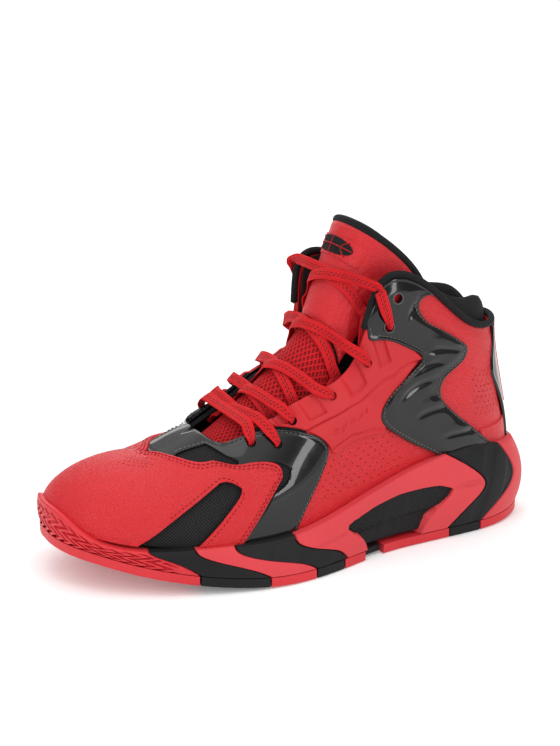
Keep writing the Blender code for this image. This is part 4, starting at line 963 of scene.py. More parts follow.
def cage_relief(k, v, distance):
    """Groove along the band, sunk bays above it between the eyelets, and slanting bars pressed below it."""
    band = line_distance(k, v, BAND)
    groove = -0.0011 * np.exp(-((band / 0.0007) ** 2))
    rib = -0.0009 * np.exp(-((line_distance(k, v, RIB) / 0.0007) ** 2))
    bays = 0
    for (k0, v0), (k1, v1) in zip(EYELETS[1:5], EYELETS[2:6]):
        x = (k - k0 - (k1 - k0) * 0.32 + (v - 0.8) * 0.6) / ((k1 - k0) * 0.48)
        inside = smoothstep(x / 0.3) * smoothstep((1 - x) / 0.06)
        bays = bays + inside * smoothstep((band - 0.0050) / 0.0010)
    bars = smoothstep(np.sin((k * 0.018 - v * 0.03) / 0.0036 * 2 * np.pi) * 3) * (np.abs(v - 0.602) < 0.016)
    bars = bars * (k > 8.2) * (k < 9.05)
    return 0.0006 + groove + rib - 0.0017 * np.clip(bays, 0, 1) - 0.0005 * bars


def strap_relief(k, v, distance):
    """Padding that swells away from the edge, with creases pressed across it and a ridge beside each crease."""
    height = 0.0010 * smoothstep((distance - 0.002) / 0.008)
    for crease in CREASES:
        d = line_distance(k, v, crease)
        (k0, _), (k1, _) = crease
        share = (k - k0) / (k1 - k0)
        fade = smoothstep(share / 0.35) * smoothstep((1.05 - share) / 0.35)
        height = height + fade * (0.0006 * np.exp(-(((d - 0.003) / 0.0022) ** 2)) - 0.0008
                                  * np.exp(-((d / 0.0011) ** 2)))
    return height * smoothstep(distance / 0.003)


for label, side in SIDES:
    cage = panel(f"cage_{label}_moulding", CAGE_LOW, CAGE_HIGH, side, TRIM_LIFT, CAGE_PLASTIC,
                 [f"cage_{label}"], 280, 92,
                 cage_relief, valley=0)
    cut_out(cage, [bore(side, number) for number in (2, 3, 4)])
    strap = panel(f"strap_{label}_patent", STRAP_FRONT, STRAP_REAR, side, OVER_LIFT, PATENT,
                  [f"ankle_strap_{label}"], 300, 80,
                  strap_relief)
    cut_out(strap, [bore(side, number) for number in (5, 6)])


# %% Heel pieces
def heel_panel(name, edge, lift, look, node, columns=60, rows=60, relief=None):
    """A panel that spans the heel between an edge on the outer side and its mirror image."""
    x = np.linspace(0, 1, rows)
    at = softened(edge, x, False, 0.45)
    share = np.linspace(0, 1, columns)[:, None]
    q = at[None, :, 0] + (2 * HEEL - 2 * at[None, :, 0]) * share
    v = at[None, :, 1] + 0 * q
    skin = surface(q, v)
    wide = np.linalg.norm(skin[-1] - skin[0], axis=-1)[None]
    up = np.concatenate([[0], np.cumsum(np.linalg.norm(np.diff(skin[columns // 2], axis=0), axis=1))])[None]
    distance = np.minimum(np.minimum(share * wide, (1 - share) * wide), np.minimum(up, up[:, -1:] - up))
    height = lift + turned_edge(distance, LEATHER)
    if relief is not None:
        height = height + relief(q, v, distance)
    outer, inner = surface(q, v, height), surface(q, v, np.minimum(lift - LEATHER * 0.9, height - 0.0004))
    return shell(name, outer, inner, look, "shoe", [node], on_last(q, v))


heel_panel("heel_strip_patent", STRIP_EDGE, OVER_LIFT, PATENT, "heel_strip")
heel_panel("heel_tab_leather", ((14.55, 0.4), (14.5, 0.7), (14.45, 0.985)), TAB_LIFT, RED_LEATHER, "heel_tab",
           40, 60)
heel_panel("heel_cup_leather", ((12.5, 0.03), (12.4, 0.35)), TRIM_LIFT, RED_LEATHER, "heel_cup", 120, 30)

# %% [markdown]
# ## Padded collar
#
# The collar is foam inside a soft black lining. It stands proud of the red leather at the back and rolls over
# into the shoe, thinning to a plain lining down in the heel.

# %% Collar
columns, rows = 200, 60
x = np.linspace(0, 1, rows)[None, :] * np.ones((columns, 1))
q = np.linspace(7.97, 2 * HEEL - 7.97, columns)[:, None] * np.ones((1, rows))
rear = smoothstep((fold(q)[0] - 10.6) / 2.4)
dome = rear * (1 - 0.85 * smoothstep((fold(q)[0] - 13.0) / 2.0))
v = (0.03 + 0.97 * x) * (0.985 + 0.19 * dome)
pad = LINING + (COLLAR_PAD * 1.25 - LINING) * rear * smoothstep((x - 0.42) / 0.3)
roll = 1 - np.sqrt(1 - np.clip((x - 0.82) / 0.18, 0, 1) ** 2 * 0.985)
outer = surface(q, v, LINING_LIFT - pad * 0.42 * roll + 0.0008 * rear * smoothstep((x - 0.9) / 0.1)
                * (1 - roll))
inner = surface(q, v, LINING_LIFT - pad * (1 - 0.42 * roll))
collar = shell("collar_padding", outer, inner, BLACK_LINING, "shoe", ["collar_lining"], on_last(q, v),
               angle=60)

q = np.linspace(9.42, 2 * HEEL - 9.42, 400)
edge = surface(q, 1.0, TRIM_LIFT - 0.0004)
facing = unit(surface(q, 1.0, 0.001) - surface(q, 1.0, 0.0))
path = edge + unit(np.cross(facing, np.gradient(edge, axis=0))) * 0.0002
tube("collar_piping", path, 0.0021, BLACK_TAPE, "shoe", ["collar_binding"])

# %% [markdown]
# ## Tongue
#
# The tongue is a padded gusset: knit below, where the laces press on it, and smooth leather above, bound with
# black tape. It is its own function of (s, t): s runs across, t from the toe end to the top edge.

# %% Tongue
TONGUE_BODY = "tongue"
EMBLEM, EMBLEM_AT = (0.23, 0.038), 0.876


def tongue_piece(name, t0, t1, lift, thickness, look, nodes, columns=90, rows=70, wide=1.0, relief=None):
    s = np.linspace(-1, 1, columns)[:, None] * np.ones((1, rows))
    t = np.linspace(t0, t1, rows)[None, :] * np.ones((columns, 1))
    ends = np.minimum(t - t0, t1 - t) * 0.17
    distance = np.minimum((1 - np.abs(s)) * 0.03, ends)
    height = lift + turned_edge(distance, thickness * 0.6, 0)
    if relief is not None:
        height = height + relief(s, t, distance)
    outer, inner = tongue(s * wide, t, height), tongue(s * wide, t, lift - thickness)
    uv = np.stack([s * 32.0, t * 165.0], -1)
    return shell(name, outer, inner, look, TONGUE_BODY, nodes, uv, angle=60)


def tongue_creases(s, t, distance):
    """Soft padding, and two shallow curved folds each side where the leather gathers."""
    height = 0.0008 * smoothstep(distance / 0.006)
    for turn in (0.0, 0.09):
        bow = np.abs(s) - 0.42 - turn - 0.55 * (t - 0.76) - 2.2 * (t - 0.86) ** 2
        height = height - 0.0006 * np.exp(-((bow * 0.03 / 0.0009) ** 2)) * smoothstep((0.9
                                                                                       - t) / 0.1) * smoothstep((t - 0.6) / 0.1)
    return height


tongue_piece("tongue_throat_knit", 0.03, TONGUE_SPLIT - 0.004, 0, LEATHER, RED_KNIT, ["tongue_knit"],
             wide=1.14)
tongue_piece("tongue_top_leather", TONGUE_SPLIT + 0.004, 0.997, 0.0002, LEATHER, RED_LEATHER,
             ["tongue_leather"], relief=tongue_creases)
tongue_pad = tongue_piece("tongue_padding", 0.03, 0.985, -LEATHER - GAP, TONGUE_PAD, BLACK_LINING,
                          ["tongue_lining"], wide=0.985)
path = tongue(np.linspace(-0.99, 0.99, 160), 0.998, -0.0016)
tube("tongue_tape", path, 0.0027, BLACK_TAPE, TONGUE_BODY, ["tongue_binding"], up=(0, 1, 0.4))
across, up = np.meshgrid(np.linspace(-0.34, 0.34, 60), np.linspace(0.83, 0.92, 24), indexing="ij")
arch = 0.0015 + 0.0003 * smoothstep((0.34 - np.abs(across)) / 0.03)
shell("lace_keeper_tape", tongue(across, up, arch), tongue(across, up, arch - LEATHER), RED_LEATHER,
      TONGUE_BODY, ["lace_keeper"],
      np.stack([across * 32, up * 165], -1))

r, turn = np.meshgrid(np.linspace(0, 1, 14), np.linspace(0, 2 * np.pi, 73), indexing="ij")
disc = r * np.cos(turn) * EMBLEM[0], EMBLEM_AT + r * np.sin(turn) * EMBLEM[1]
shell("ball_emblem", tongue(*disc, 0.0021)[::-1], tongue(*disc, 0.0010)[::-1], BLACK_TAPE, TONGUE_BODY, (),
      np.stack(disc, -1) * 99)
x = np.linspace(-0.96, 0.96, 40)
curved = 0.5 + 0.28 * x * x
for number, (a, b) in enumerate(((x, 0 * x), (0 * x, x), (curved, x * 0.86), (-curved, x * 0.86))):
    seam_path = tongue(a * EMBLEM[0], EMBLEM_AT + b * EMBLEM[1], 0.0021)
    tube(f"ball_seam_{number}", seam_path, 0.0004, RED_THREAD, TONGUE_BODY, sides=8, up=(0, -1, 0.3))

# %% [markdown]
# ## Sole walls
#
# The wall is one swelling surface in coloured blocks, and a joint between two blocks is only a line on it. The
# toe bumper has a herringbone moulded into its face: the height there is a triangle wave whose phase zigzags as
# the wall climbs.

# %% Wall blocks
def joint_line(name, w):
    rows = np.array(JOINTS[name], float)[:, None]
    return spline(rows, np.clip(w, 0, 1) * 4)[..., 0]


def edge_of(name, side, shift):
    return lambda w: side * (joint_line(name, w) + shift)


def sideways(q):
    k, side = fold(q)
    out = feather(k)[1]
    return np.stack([side * out[..., 0], out[..., 1], np.zeros_like(k)], -1)


def wall_piece(name, first, second, columns, look, nodes, relief=None, rows=44):
    """Outer wall with turned edges and a relief pushed sideways, and the wall's own inner face behind it."""
    x = np.linspace(0, 1, rows)
    w = (0.6 * x + 0.4 * (0.5 - 0.5 * np.cos(np.pi * x)))[None, :] * np.ones((columns, 1))
    share = np.linspace(0, 1, columns)[:, None]
    q = first(w) + (second(w) - first(w)) * share
    face = wall_outer(q, w)
    long = np.linalg.norm(face[-1] - face[0], axis=-1)[None] if columns < 150 else 0.17
    tall = np.linalg.norm(face[:, -1] - face[:, 0], axis=-1)[:, None]
    distance = np.minimum(np.minimum(share * long, (1 - share) * long), np.minimum((1 - w), w + 0.2) * tall)
    return wall_skin(name, q, w, distance, look, nodes, relief)


def wall_skin(name, q, w, distance, look, nodes=(), relief=None, soft_edge=0.0009):
    """The wall over a grid (q, w). Its rim leans in behind the face, so that no slit opens beside the upper."""
    drop = -0.0007 * (1 - np.sqrt(1 - (1 - np.clip(distance / soft_edge, 0, 1)) ** 2))
    if relief is not None:
        drop = drop + relief(q, w, distance)
    out = sideways(q)
    inner = wall_inner(q, w) - out * 0.0030 * smoothstep((w - 0.75) / 0.25)[..., None]
    outer = wall_outer(q, w) + out * drop[..., None]
    return shell(name, outer, inner, look, "shoe", nodes, np.stack([q * 19.0, w * 40.0], -1), angle=50)


def herringbone(q, w, distance):
    """Grooves 0.9 mm deep: a triangle wave along the wall, its phase zigzagging twice between ground and rim."""
    zig = np.abs(np.mod(w * 1.9 + 0.2, 1) * 2 - 1)
    wave = np.abs(np.mod(q * 19.0 / 6.6 + zig * 1.3, 1) * 2 - 1)
    ridge = smoothstep((wave - 0.34) / 0.2)
    k = np.abs(q)
    field = smoothstep((distance - 0.0022) / 0.0012) * smoothstep((3.9 - k) / 0.3) * smoothstep((0.86
                                                                                                 - w) / 0.06)
    return -0.0015 * (1 - ridge) * field


def chevron_lines(q, w, distance):
    """Long shallow flutes that fan down the black blocks."""
    k, _ = fold(q)
    return -0.0004 * smoothstep(np.sin(k * 7.0 - w * 5.0) * 1.5) * smoothstep((distance - 0.001) / 0.002)


wall_piece("toe_bumper_rubber", edge_of("toe", -1, -WALL_JOINT), edge_of("toe", 1, -WALL_JOINT), 420,
           BUMPER_RUBBER,
           ["toe_bumper"], herringbone, 64)
wall_piece("heel_bumper_foam", edge_of("heel", 1, WALL_JOINT), lambda w: 2 * HEEL - joint_line("heel", w)
           - WALL_JOINT, 120,
           CORAL_FOAM, ["heel_bumper"])


def window_grid(side, grow, columns=15, rows=5):
    """(q, w) over the arch window, its outline grown by a share about its middle."""
    s = np.linspace(0, 1, columns)
    low, high = (softened(edge, s, True, 0.4)[:, None] for edge in (WINDOW_LOW, WINDOW_HIGH))
    q, w = np.moveaxis(low + (high - low) * np.linspace(0, 1, rows)[:, None], -1, 0)
    middle = w.mean(axis=1, keepdims=True)
    centre = (q.min() + q.max()) / 2
    q = side * (centre + (q - centre) * (1 + grow * 0.6))
    return (q if side > 0 else q[::-1]), (middle + (w - middle) * (1 + grow))[::side]


def studded(q, w):
    """Small pyramids pressed into the insert, on a slanting lattice."""
    a, b = q * 19 / 2.6 + w * 9, q * 19 / 2.6 - w * 9
    return 0.0005 * (np.abs(np.sin(np.pi * a)) + np.abs(np.sin(np.pi * b)) - 1)


def arch_block(label, side, edges, node):
    """The coral block round the window in three skins: a band over it, and a lobe before it and behind it."""
    first, second = (lambda w, edge=edge: np.abs(edge(w)) for edge in edges)
    x = np.linspace(0, 1, 50)[None, :] * np.ones((220, 1))
    share = np.linspace(0, 1, 220)[:, None]
    top_k, top_w = np.array(WINDOW_HIGH).T
    inside = 0.5 + 0 * share
    for _ in range(3):
        k = first(inside) + (second(inside) - first(inside)) * share
        inside = np.interp(k, (7.6, 7.9, *top_k[1:-1], 11.25, 11.6), (0.5, 0.56, *top_w[1:-1], 0.52, 0.5))
    w = inside + (1 - inside) * x
    k = first(w) + (second(w) - first(w)) * share
    away = 0.02 * (smoothstep((7.95 - k) / 0.1) + smoothstep((k - 11.1) / 0.1))
    skins = [("over", k, w, np.minimum(np.minimum(x * 0.02 + away, (1 - x) * 0.02), np.minimum(share, 1
                                                                                               - share) * 0.1))]
    w = x[:120] * 0.58
    share = np.linspace(0, 1, 120)[:, None]
    front = np.interp(w, (0, 0.1, 0.25, 0.4, 0.52, 0.58), (8.34, 8.33, 8.27, 8.1, 7.97, 7.93))
    rear = np.interp(w, (0, 0.1, 0.19, 0.33, 0.46, 0.53, 0.58), (10.12, 10.22, 10.36, 10.7, 11.08, 11.18,
                                                                 11.22))
    k = first(w) + (front - first(w)) * share
    skins.append(("before", k, w, np.minimum(share, 1 - share) * 0.03))
    k = rear + (second(w) - rear) * share
    skins.append(("behind", k, w, np.minimum(share, 1 - share) * 0.03))
    turn = slice(None, None, side)
    for where, k, w, distance in skins:
        wall_skin(f"wall_arch_{where}_{label}", k[turn] * side, w[turn], distance[turn], CORAL_FOAM, [node])


FLUTED = ("midsole_chevron_black", "midsole_waist_black")
for label, side in SIDES:
    for name, first, second in WALL_BLOCKS:
        edges = edge_of(first, side, WALL_JOINT), edge_of(second, side, -WALL_JOINT)
        node = f"{name}_{label}"
        finish = CORAL_FOAM if "coral" in name else BLACK_RUBBER
        if name == "midsole_arch_coral":
            arch_block(label, side, edges, node)
            continue
        wall_piece(node.replace("midsole", "wall"), *(edges if side > 0 else edges[::-1]), 130, finish,
                   [node],
                   chevron_lines if name in FLUTED else None)
    q, w = window_grid(side, 0.02, 120, 40)
    w = np.maximum(w, 0.04)
    face, behind = wall_outer(q, w), wall_inner(q, w)
    outer = behind + (face - behind) * 0.55 + sideways(q) * studded(q, w)[..., None]
    shell(f"shank_window_{label}", outer, behind + (face - behind) * 0.15, BLACK_RUBBER, "shoe",
          [f"shank_insert_{label}"],
          np.stack([q * 19, w * 40], -1))

# %% [markdown]
# ## Outsole and the layers inside
#
# The tread is a herringbone too, cut up into the rubber from the ground, in blocks that carry on the wall's
# colours. Inside, the sockliner is a cloth-covered sheet with a raised rim.


# %% Outsole and sockliner
def sole_grid(k, s, narrow=1.0):
    """Points across the sole at its edge's height: s runs -1 to 1 at each station k."""
    edge = sole_edge(k) * MM
    middle = placed(edge * (0, 1, 1), 1.0)
    return middle + np.stack([s * edge[..., 0] * narrow, 0 * s * k, 0 * s * k], -1)


def tread(p, k, s):
    """Herringbone grooves 1.4 mm deep, clear of the block's edge; x and y in metres set the pattern."""
    wave = np.abs(np.mod(p[..., 1] / 0.0062 + np.abs(np.mod(p[..., 0] / 0.018 + 0.25, 1) * 2 - 1) * 0.9, 1)
                  * 2 - 1)
    groove = 1 - smoothstep((wave - 0.28) / 0.2)
    edge = smoothstep((1 - np.abs(s)) / 0.05) * smoothstep((k - k.min()) / 0.08) * smoothstep((k.max()
                                                                                               - k) / 0.08)
    return 0.0014 * groove * edge


for name, start, end, steps in OUTSOLE_BLOCKS:
    columns = 30 * steps
    k = np.linspace(start + WALL_JOINT, end - WALL_JOINT, columns)[:, None] * np.ones((1, 110))
    s = np.sin(np.linspace(-1, 1, 110) * np.pi / 2)[None, :] * np.ones((columns, 1))
    ground = sole_grid(k, s)
    lifted = ground.copy()
    lifted[..., 2] += tread(ground, k, s) + 0.0006 * (1 - np.sqrt(1 - (1 - np.clip((1 - np.abs(s)) / 0.012, 0,
                                                                                   1)) ** 2))
    finish = BLACK_RUBBER if "black" in name else BUMPER_RUBBER
    shell(name.replace("outsole", "tread"), lifted, ground + (0, 0, OUTSOLE), finish, "shoe", [name],
          np.stack([k * 19, s * 45], -1), angle=50)

k = np.linspace(1.0, 14.0, 160)[:, None] * np.ones((1, 60))
s = np.linspace(-1, 1, 60)[None, :] * np.ones((160, 1))
line, out = feather(k)
edge = line[..., :2] * MM[:2] - out * (-ROOM_LIFT + 0.0026)
floor = placed(np.stack([0 * k, edge[..., 1], line[..., 2] * MM[2] + 0.0003], -1), 1.0)
floor[..., 0] += s * edge[..., 0]
top = floor + (0, 0, 1) * (SOCKLINER * 0.62 + SOCKLINER * 0.36 * smoothstep((np.abs(s) - 0.45) / 0.5))[...,
                                                                                                       None]
shell("sockliner_cloth", floor, top, BLACK_LINING, "sockliner", ["sockliner"], np.stack([k * 19, s * 35], -1),
      angle=60)

for node, finish in (("insole_board", FIBRE_BOARD), ("midsole_core", CORAL_FOAM), ("heel_counter",
                                                                                   STIFF_FELT), ("toe_puff",
                                                                                                 STIFF_FELT),
                     ("shank_bridge", BLACK_RUBBER), ("aglet_1", BLACK_THREAD_PAINTED_GLINT), ("aglet_2", BLACK_THREAD_PAINTED_GLINT)):
    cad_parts[node].data.materials[0] = finish
for label, _ in SIDES:
    for number in (6, 7):
        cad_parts[f"eyelet_{label}_{number}"].data.materials[0] = GUNMETAL.material

# %% [markdown]
# ## Lace
#
# One flat braid laces the shoe: a bar across the lowest pair of holes, then each end crosses the tongue, goes
# over the far edge and down into the next hole. The controls are placed hole by hole; the course between them is
# rounded by averaging, and the flat section narrows where it dives through a hole.

# %% Lace
def over_tongue(first, last, share, lift):
    """Point of the tongue a share of the way between the places under two others, raised by lift; and its normal."""
    s, t = np.meshgrid(np.linspace(-1, 1, 61), np.linspace(0, 0.95, 96), indexing="ij")
    skin = tongue(s, t)
    found = []
    for place in (first, last):
        nearest = np.argmin(np.linalg.norm(skin - place, axis=-1))
        found.append(np.array((s.flat[nearest], t.flat[nearest])))
    at = found[0] + (found[1] - found[0]) * share
    point = tongue(*at)
    normal = unit(tongue(*at, 0.001) - point)
    return point + normal * lift, normal


def normal_at(q, v):
    return unit(surface(q, v, 0.001) - surface(q, v, 0.0))


def up_the_stay(side, row, step, lift, out):
    """Controls on one face of the eyestay, from beside a hole to the edge of the throat."""
    k, v = EYELETS[row]
    found = []
    last = 1.0 if lift < 0 else 1.15
    for share, narrow in ((0.16, 0.6), (0.4, 0.0), (0.7, 0.0), (last, 0.0)):
        at = side * (k + step * share), v + (1 - v) * share
        found.append((surface(*at, lift), normal_at(*at), narrow))
    return found[::out]


def hole(side, row, over):
    """Controls down a hole, from outside to inside."""
    k, v = side * EYELETS[row][0], EYELETS[row][1]
    return [(surface(k, v, lift), normal_at(k, v), 1.0) for lift in (over * 0.8, 0.0, -0.0045, LACE_UNDER
                                                                     * 0.9)]


def over_of(row):
    return LACE_OVER + LACE_OVER_RING * (row >= RINGED - 1)


def crossing(side, row, upper, turn):
    """Controls from inside one hole, under the throat's edge, over the tongue and down into the next hole."""
    (k0, v0), (k1, v1) = EYELETS[row], EYELETS[row + 1]
    step = 0.25 * (k1 - k0)
    run = unit(surface(-side * k1, v1) - surface(side * k0, v0))
    leave = up_the_stay(side, row, step, LACE_UNDER, 1)
    arrive = up_the_stay(-side, row + 1, -step, over_of(row + 1), -1)
    edge, brow = leave[-1][0], arrive[0][0]
    crown, _ = over_tongue(edge, brow, 0.5, LACE_ON_TONGUE + upper * LACE_STEP)
    middle = []
    for share in np.linspace(0.08, 0.92, 11):
        place, normal = over_tongue(edge, brow, share, 0.0)
        raised = upper * LACE_STEP * smoothstep(3 - abs(share - 0.5) / 0.09)
        taut = crown + (brow - crown) * (share - 0.5) * 2
        clear = ((taut - place) * normal).sum() if share > 0.5 else 0.0
        middle.append((place + normal * max(LACE_ON_TONGUE + raised, clear), normal, 0.0))
    controls = leave + middle + arrive + hole(-side, row + 1, over_of(row + 1))
    return [(place, turn * unit(np.cross(normal, run)), narrow) for place, normal, narrow in controls]


LACE_UNDER = -0.0082
LACE_OVER = 0.0029
LACE_OVER_RING = 0.0025
LACE_ON_TONGUE = 0.0018
LACE_STEP = 0.0019


def strand(side, first_upper):
    """Controls of one end of the lace from inside the lowest hole of a side to its tip inside the shoe."""
    found = []
    for row in range(5):
        found += crossing(side * (-1) ** row, row, (row + first_upper) % 2, (-1) ** row)
    last = side * (-1) ** 5
    k, v = EYELETS[5]
    width = found[-1][1]
    for dk, dv, deeper in ((0.08, -0.03, 0), (0.5, -0.06, 0.001), (0.9, -0.08, 0.003)):
        found.append((surface(last * (k + dk), v + dv, LACE_UNDER - deeper), width, 0.6))
    return found


def laid(controls, spacing=0.0005, soften=3):
    """The lace's course: controls joined, bends rounded by averaging, then thinned where it runs straight."""
    places, widths, narrow = (np.array(part) for part in zip(*controls))
    reach = np.concatenate([[0], np.cumsum(np.linalg.norm(np.diff(places, axis=0), axis=1))])
    at = np.linspace(0, reach[-1], int(reach[-1] / spacing))
    every = np.concatenate([places, widths, narrow[:, None]], axis=1)
    course = np.stack([np.interp(at, reach, column) for column in every.T], -1)
    for _ in range(2):
        padded = np.pad(course, ((soften, soften), (0, 0)), mode="edge")
        window = np.ones(2 * soften + 1) / (2 * soften + 1)
        course = np.stack([np.convolve(column, window, "valid") for column in padded.T], -1)
    run = unit(np.gradient(course[:, :3], axis=0))
    bend = np.linalg.norm(np.gradient(run, axis=0), axis=1)
    load = np.cumsum(0.3 + np.minimum(bend * 6, 0.7))
    keep = np.unique(np.searchsorted(load, np.arange(load[0], load[-1], 1.0)).clip(0, len(load) - 1))
    keep = np.unique(np.concatenate([keep, [0, len(load) - 1]]))
    return course[keep], run[keep]


bar = []
for side, out in ((-1, 1), (1, -1)):
    leg = hole(side, 0, LACE_OVER)[::-1] + up_the_stay(side, 0, 0.1, LACE_OVER, 1)
    bar += [(place, unit(np.cross((1.0, 0, 0), normal)), narrow) for place, normal, narrow in leg[::out]]
controls = strand(-1, 1)[::-1] + bar + strand(1, 0)
course, run = laid(controls)
centre, narrow = course[:, :3], course[:, 6:7]
width = unit(course[:, 3:6] - run * (course[:, 3:6] * run).sum(axis=1, keepdims=True))
flips = np.cumprod(np.concatenate([[1], np.where((width[1:] * width[:-1]).sum(axis=1) < 0, -1, 1)]))[:, None]
width = width * flips
thick = unit(np.cross(run, width))
half_width = (LACE_WIDTH * (1 - narrow) + 0.0034 * narrow) / 2
half_thick = (LACE_THICKNESS * (1 - narrow) + 0.0018 * narrow) / 2
a = np.linspace(0, 2 * np.pi, 20, endpoint=False)
a_across = np.sign(np.cos(a)) * np.abs(np.cos(a)) ** 0.75
a_through = np.sign(np.sin(a)) * np.abs(np.sin(a)) ** 0.55
rings = (centre[:, None] + width[:, None] * half_width[:, None] * a_across[:, None]
         + thick[:, None] * half_thick[:, None] * a_through[:, None])
index = np.arange(rings.shape[0] * 20).reshape(-1, 20)
after = np.roll(index, -1, axis=1)
faces = np.stack([index[:-1], index[1:], after[1:], after[:-1]], -1).reshape(-1, 4)
outward = (np.cross(rings[9, 5] - rings[8, 5], rings[8, 6] - rings[8, 5]) * (rings[8, 5] - centre[8])).sum()
faces = faces if outward > 0 else faces[:, ::-1]
ends = [index[0].tolist(), index[-1, ::-1].tolist()]
mesh = bpy.data.meshes.new("lace_braid")
mesh.from_pydata(rings.reshape(-1, 3), [], faces.tolist() + (ends if outward > 0 else [e[::-1]
                                                                                       for e in ends]))
reach = np.concatenate([[0], np.cumsum(np.linalg.norm(np.diff(centre, axis=0), axis=1))]) * 1000
corner = np.empty(len(mesh.loops), np.int32)
mesh.loops.foreach_get("vertex_index", corner)
flat = np.stack([reach[corner // 20], a_across[corner % 20]], -1)
mesh.uv_layers.new(name="UVMap").data.foreach_set("uv", flat.astype(np.float32).ravel())
finish_mesh("lace_braid", mesh, LACE, "shoe", ["lace"], 80)
print("lace:", round(reach[-1]), "mm in the shoe,", len(mesh.polygons), "faces")

# %% [markdown]
# ## Stitches and perforations
#
# A stitch is a short thread that rises out of the leather and dips back in, so one small capsule is repeated
# along each seam at its own pitch. Perforations are sunk dots in rows, painted dark red as the shade inside each hole.


# %% Stitch rows
def seam(low, high, side, which, inset, lift, soft=0.45, start=0.0, end=1.0, count=400):
    """Points and outward normals along a line inset from one edge of a patch: which is 0 low, 1 high."""
    s = np.linspace(start, end, count)
    paired = len(low) == len(high)
    below, above = (softened(edge, np.abs(s), paired, soft) for edge in (low, high))
    a, b = surface(below[:, 0] * side, below[:, 1]), surface(above[:, 0] * side, above[:, 1])
    share = np.clip(inset / np.maximum(np.linalg.norm(b - a, axis=-1), 1e-4), -0.5, 0.5)[:, None]
    at = above + (below - above) * share if which else below + (above - below) * share
    q, v = at[:, 0] * side, at[:, 1]
    return surface(q, v, lift), unit(surface(q, v, lift + 0.001) - surface(q, v, lift))


def stitch_mesh(rows, pitch=0.0026, length=0.0019, radius=0.00032):
    """Capsules along every row: five rings of six points each, sunk at both ends."""
    along = np.array((-0.5, -0.36, 0, 0.36, 0.5)) * length
    round_ = np.array((0.15, 0.9, 1.0, 0.9, 0.15)) * radius
    sink = np.array((-1.0, 0.0, 0.5, 0.0, -1.0)) * radius
    a = np.arange(6) * np.pi / 3
    points, faces, total = [], [], 0
    for path, normal in rows:
        reach = np.concatenate([[0], np.cumsum(np.linalg.norm(np.diff(path, axis=0), axis=1))])
        at = np.arange(pitch / 2, reach[-1], pitch)
        centre = np.stack([np.interp(at, reach, path[:, i]) for i in range(3)], -1)
        up = unit(np.stack([np.interp(at, reach, normal[:, i]) for i in range(3)], -1))
        ahead = np.stack([np.interp(at + 0.0005, reach, path[:, i]) for i in range(3)], -1)
        behind = np.stack([np.interp(at - 0.0005, reach, path[:, i]) for i in range(3)], -1)
        run = unit(ahead - behind)
        side = unit(np.cross(run, up))
        ring = centre[:, None, None] + run[:, None, None] * along[:, None, None]
        ring = ring + up[:, None, None] * (sink[:, None, None] + round_[:, None, None] * np.sin(a)[None, :,
                                                                                                   None])
        ring = ring + side[:, None, None] * round_[:, None, None] * np.cos(a)[None, :, None]
        index = np.arange(len(at) * 30).reshape(len(at), 5, 6) + total
        turned = np.roll(index, -1, axis=2)
        faces += np.stack([index[:, :-1], turned[:, :-1], turned[:, 1:], index[:, 1:]], -1).reshape(-1,
                                                                                                    4).tolist()
        faces += index[:, 0, ::-1].tolist() + index[:, -1].tolist()
        points.append(ring.reshape(-1, 3))
        total += len(at) * 30
    mesh = bpy.data.meshes.new("stitches")
    mesh.from_pydata(np.concatenate(points), [], faces)
    return mesh


def stitches(name, rows, look, body="shoe", **sizes):
    mesh = stitch_mesh(rows, **sizes)
    finish_mesh(name, mesh, look, body, (), 180)
    return len(mesh.polygons) // 26


count = 0
for label, side in SIDES:
    red = [seam(*CAP_SHAPE, side, 1, inset, OVER_LIFT - 0.0001, 0.8, 0.02, 0.985) for inset in (0.0020,
                                                                                                0.0040)]
    red += [seam(SLIT_LOW, SLIT_HIGH, side, which, -0.0022, OVER_LIFT - 0.0001, 0.9, 0.22, 0.97)
            for which in (0, 1)]
    rear = ((4.9, 0.03), (6.3, 0.44)), ((5.3, 0.03), (6.6, 0.44))
    red += [seam(*rear, side, 1, inset, OVER_LIFT - 0.0001, 0.05, 0.04, 0.97) for inset in (0.0020, 0.0040)]
    count += stitches(f"cap_stitches_{label}", red, RED_THREAD)
    black = [seam(STRAP_FRONT, STRAP_REAR, side, which, 0.0024, OVER_LIFT - 0.0001, 0.45, 0.06, 0.94)
             for which in (0, 1)]
    black += [seam(SADDLE_FRONT, SADDLE_REAR, side, 1, 0.0022, TRIM_LIFT - 0.0001, 0.45, 0.3, 0.95)]
    black += [seam(ALMOND[0], ALMOND[1], side, 1, -0.0016, TRIM_LIFT, 0.5, 0.05, 0.95)]
    count += stitches(f"patent_stitches_{label}", black, BLACK_THREAD_PAINTED_GLINT)
print(count, "stitches")


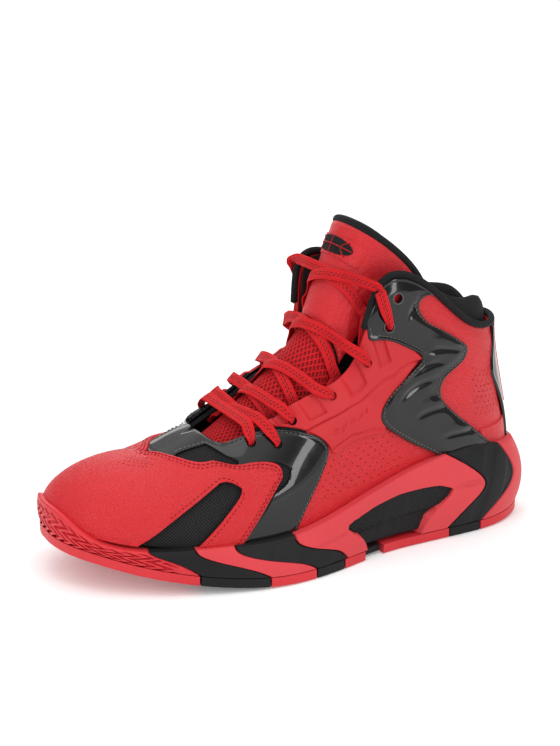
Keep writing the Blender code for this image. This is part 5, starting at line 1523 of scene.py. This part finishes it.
# %% Perforations
def dots(name, q, v, lift, radius, look):
    """A sunk disc for each hole: a centre point and a ring of eight, laid square to the last."""
    centre = surface(q, v, lift)
    up = unit(surface(q, v, lift + 0.001) - centre)
    side = unit(np.cross(up, (0.3, 0.2, 1.0)))
    top = np.cross(up, side)
    a = np.arange(8) * np.pi / 4
    ring = centre[:, None] + radius * (np.cos(a)[:, None] * side[:, None] + np.sin(a)[:, None] * top[:, None])
    points = np.concatenate([centre[:, None] - up[:, None] * 0.00012, ring], 1)
    first = np.arange(len(q))[:, None] * 9
    index = np.arange(8)
    faces = np.stack([first + 0 * index, first + 1 + index, first + 1 + (index + 1) % 8], -1)
    mesh = bpy.data.meshes.new(name)
    mesh.from_pydata(points.reshape(-1, 3), [], faces.reshape(-1, 3).tolist())
    finish_mesh(name, mesh, look, "shoe", (), 180)
    return len(q)


def lattice(k0, k1, v0, v1, step_k, step_v):
    """Rows of holes, every other row moved half a step."""
    rows = np.arange(v0, v1, step_v)
    found = [np.stack([np.arange(k0 + (i % 2) * step_k / 2, k1, step_k),
                       np.full(len(np.arange(k0 + (i % 2) * step_k / 2, k1, step_k)), v)], -1)
             for i, v in enumerate(rows)]
    return np.concatenate(found)


total = 0
for label, side in SIDES:
    quarter = lattice(7.6, 9.9, 0.22, 0.46, 0.21, 0.034)
    k, v = quarter.T
    quarter = quarter[(v < 0.46 - 0.05 * np.abs(k - 8.5)) & (k > 7.55 + (v - 0.3) * 1.6)]
    total += dots(f"quarter_holes_{label}", quarter[:, 0] * side, quarter[:, 1], BASE_LIFT + 0.00038, 0.00042,
                  HOLE_PAINTED_SHADE)
    ankle = lattice(12.3, 13.3, 0.44, 0.72, 0.2, 0.034)
    total += dots(f"ankle_holes_{label}", ankle[:, 0] * side, ankle[:, 1], BASE_LIFT + 0.00155, 0.00042,
                  HOLE_PAINTED_SHADE)
    ridge = lattice(1.1, 3.5, 0.77, 0.91, 0.3, 0.035)
    total += dots(f"cap_holes_{label}", ridge[:, 0] * side, ridge[:, 1], OVER_LIFT + 0.00005, 0.00042,
                  HOLE_PAINTED_SHADE)
print(total, "perforations")

# %% [markdown]
# ## Floor and the end
#
# The floor is a pale sheet with a faint glow, so that it stays white far out. It isn't part of the shoe.

# %% Floor and finish
GLOW = {"Emission Color": (1, 1, 1, 1), "Emission Strength": 0.16}
plane = bpy.data.meshes.new("floor")
plane.from_pydata([(-30, -30, -0.0004), (30, -30, -0.0004), (30, 30, -0.0004), (-30, 30, -0.0004)], [],
                  [(0, 1, 2, 3)])
floor_object = bpy.data.objects.new("floor", plane)
bpy.context.scene.collection.objects.link(floor_object)
plane.materials.append(Finish("pale_floor", (0.9, 0.9, 0.9), 1.0, **{"Specular IOR Level": 0.0,
                                                                     **GLOW}).material)
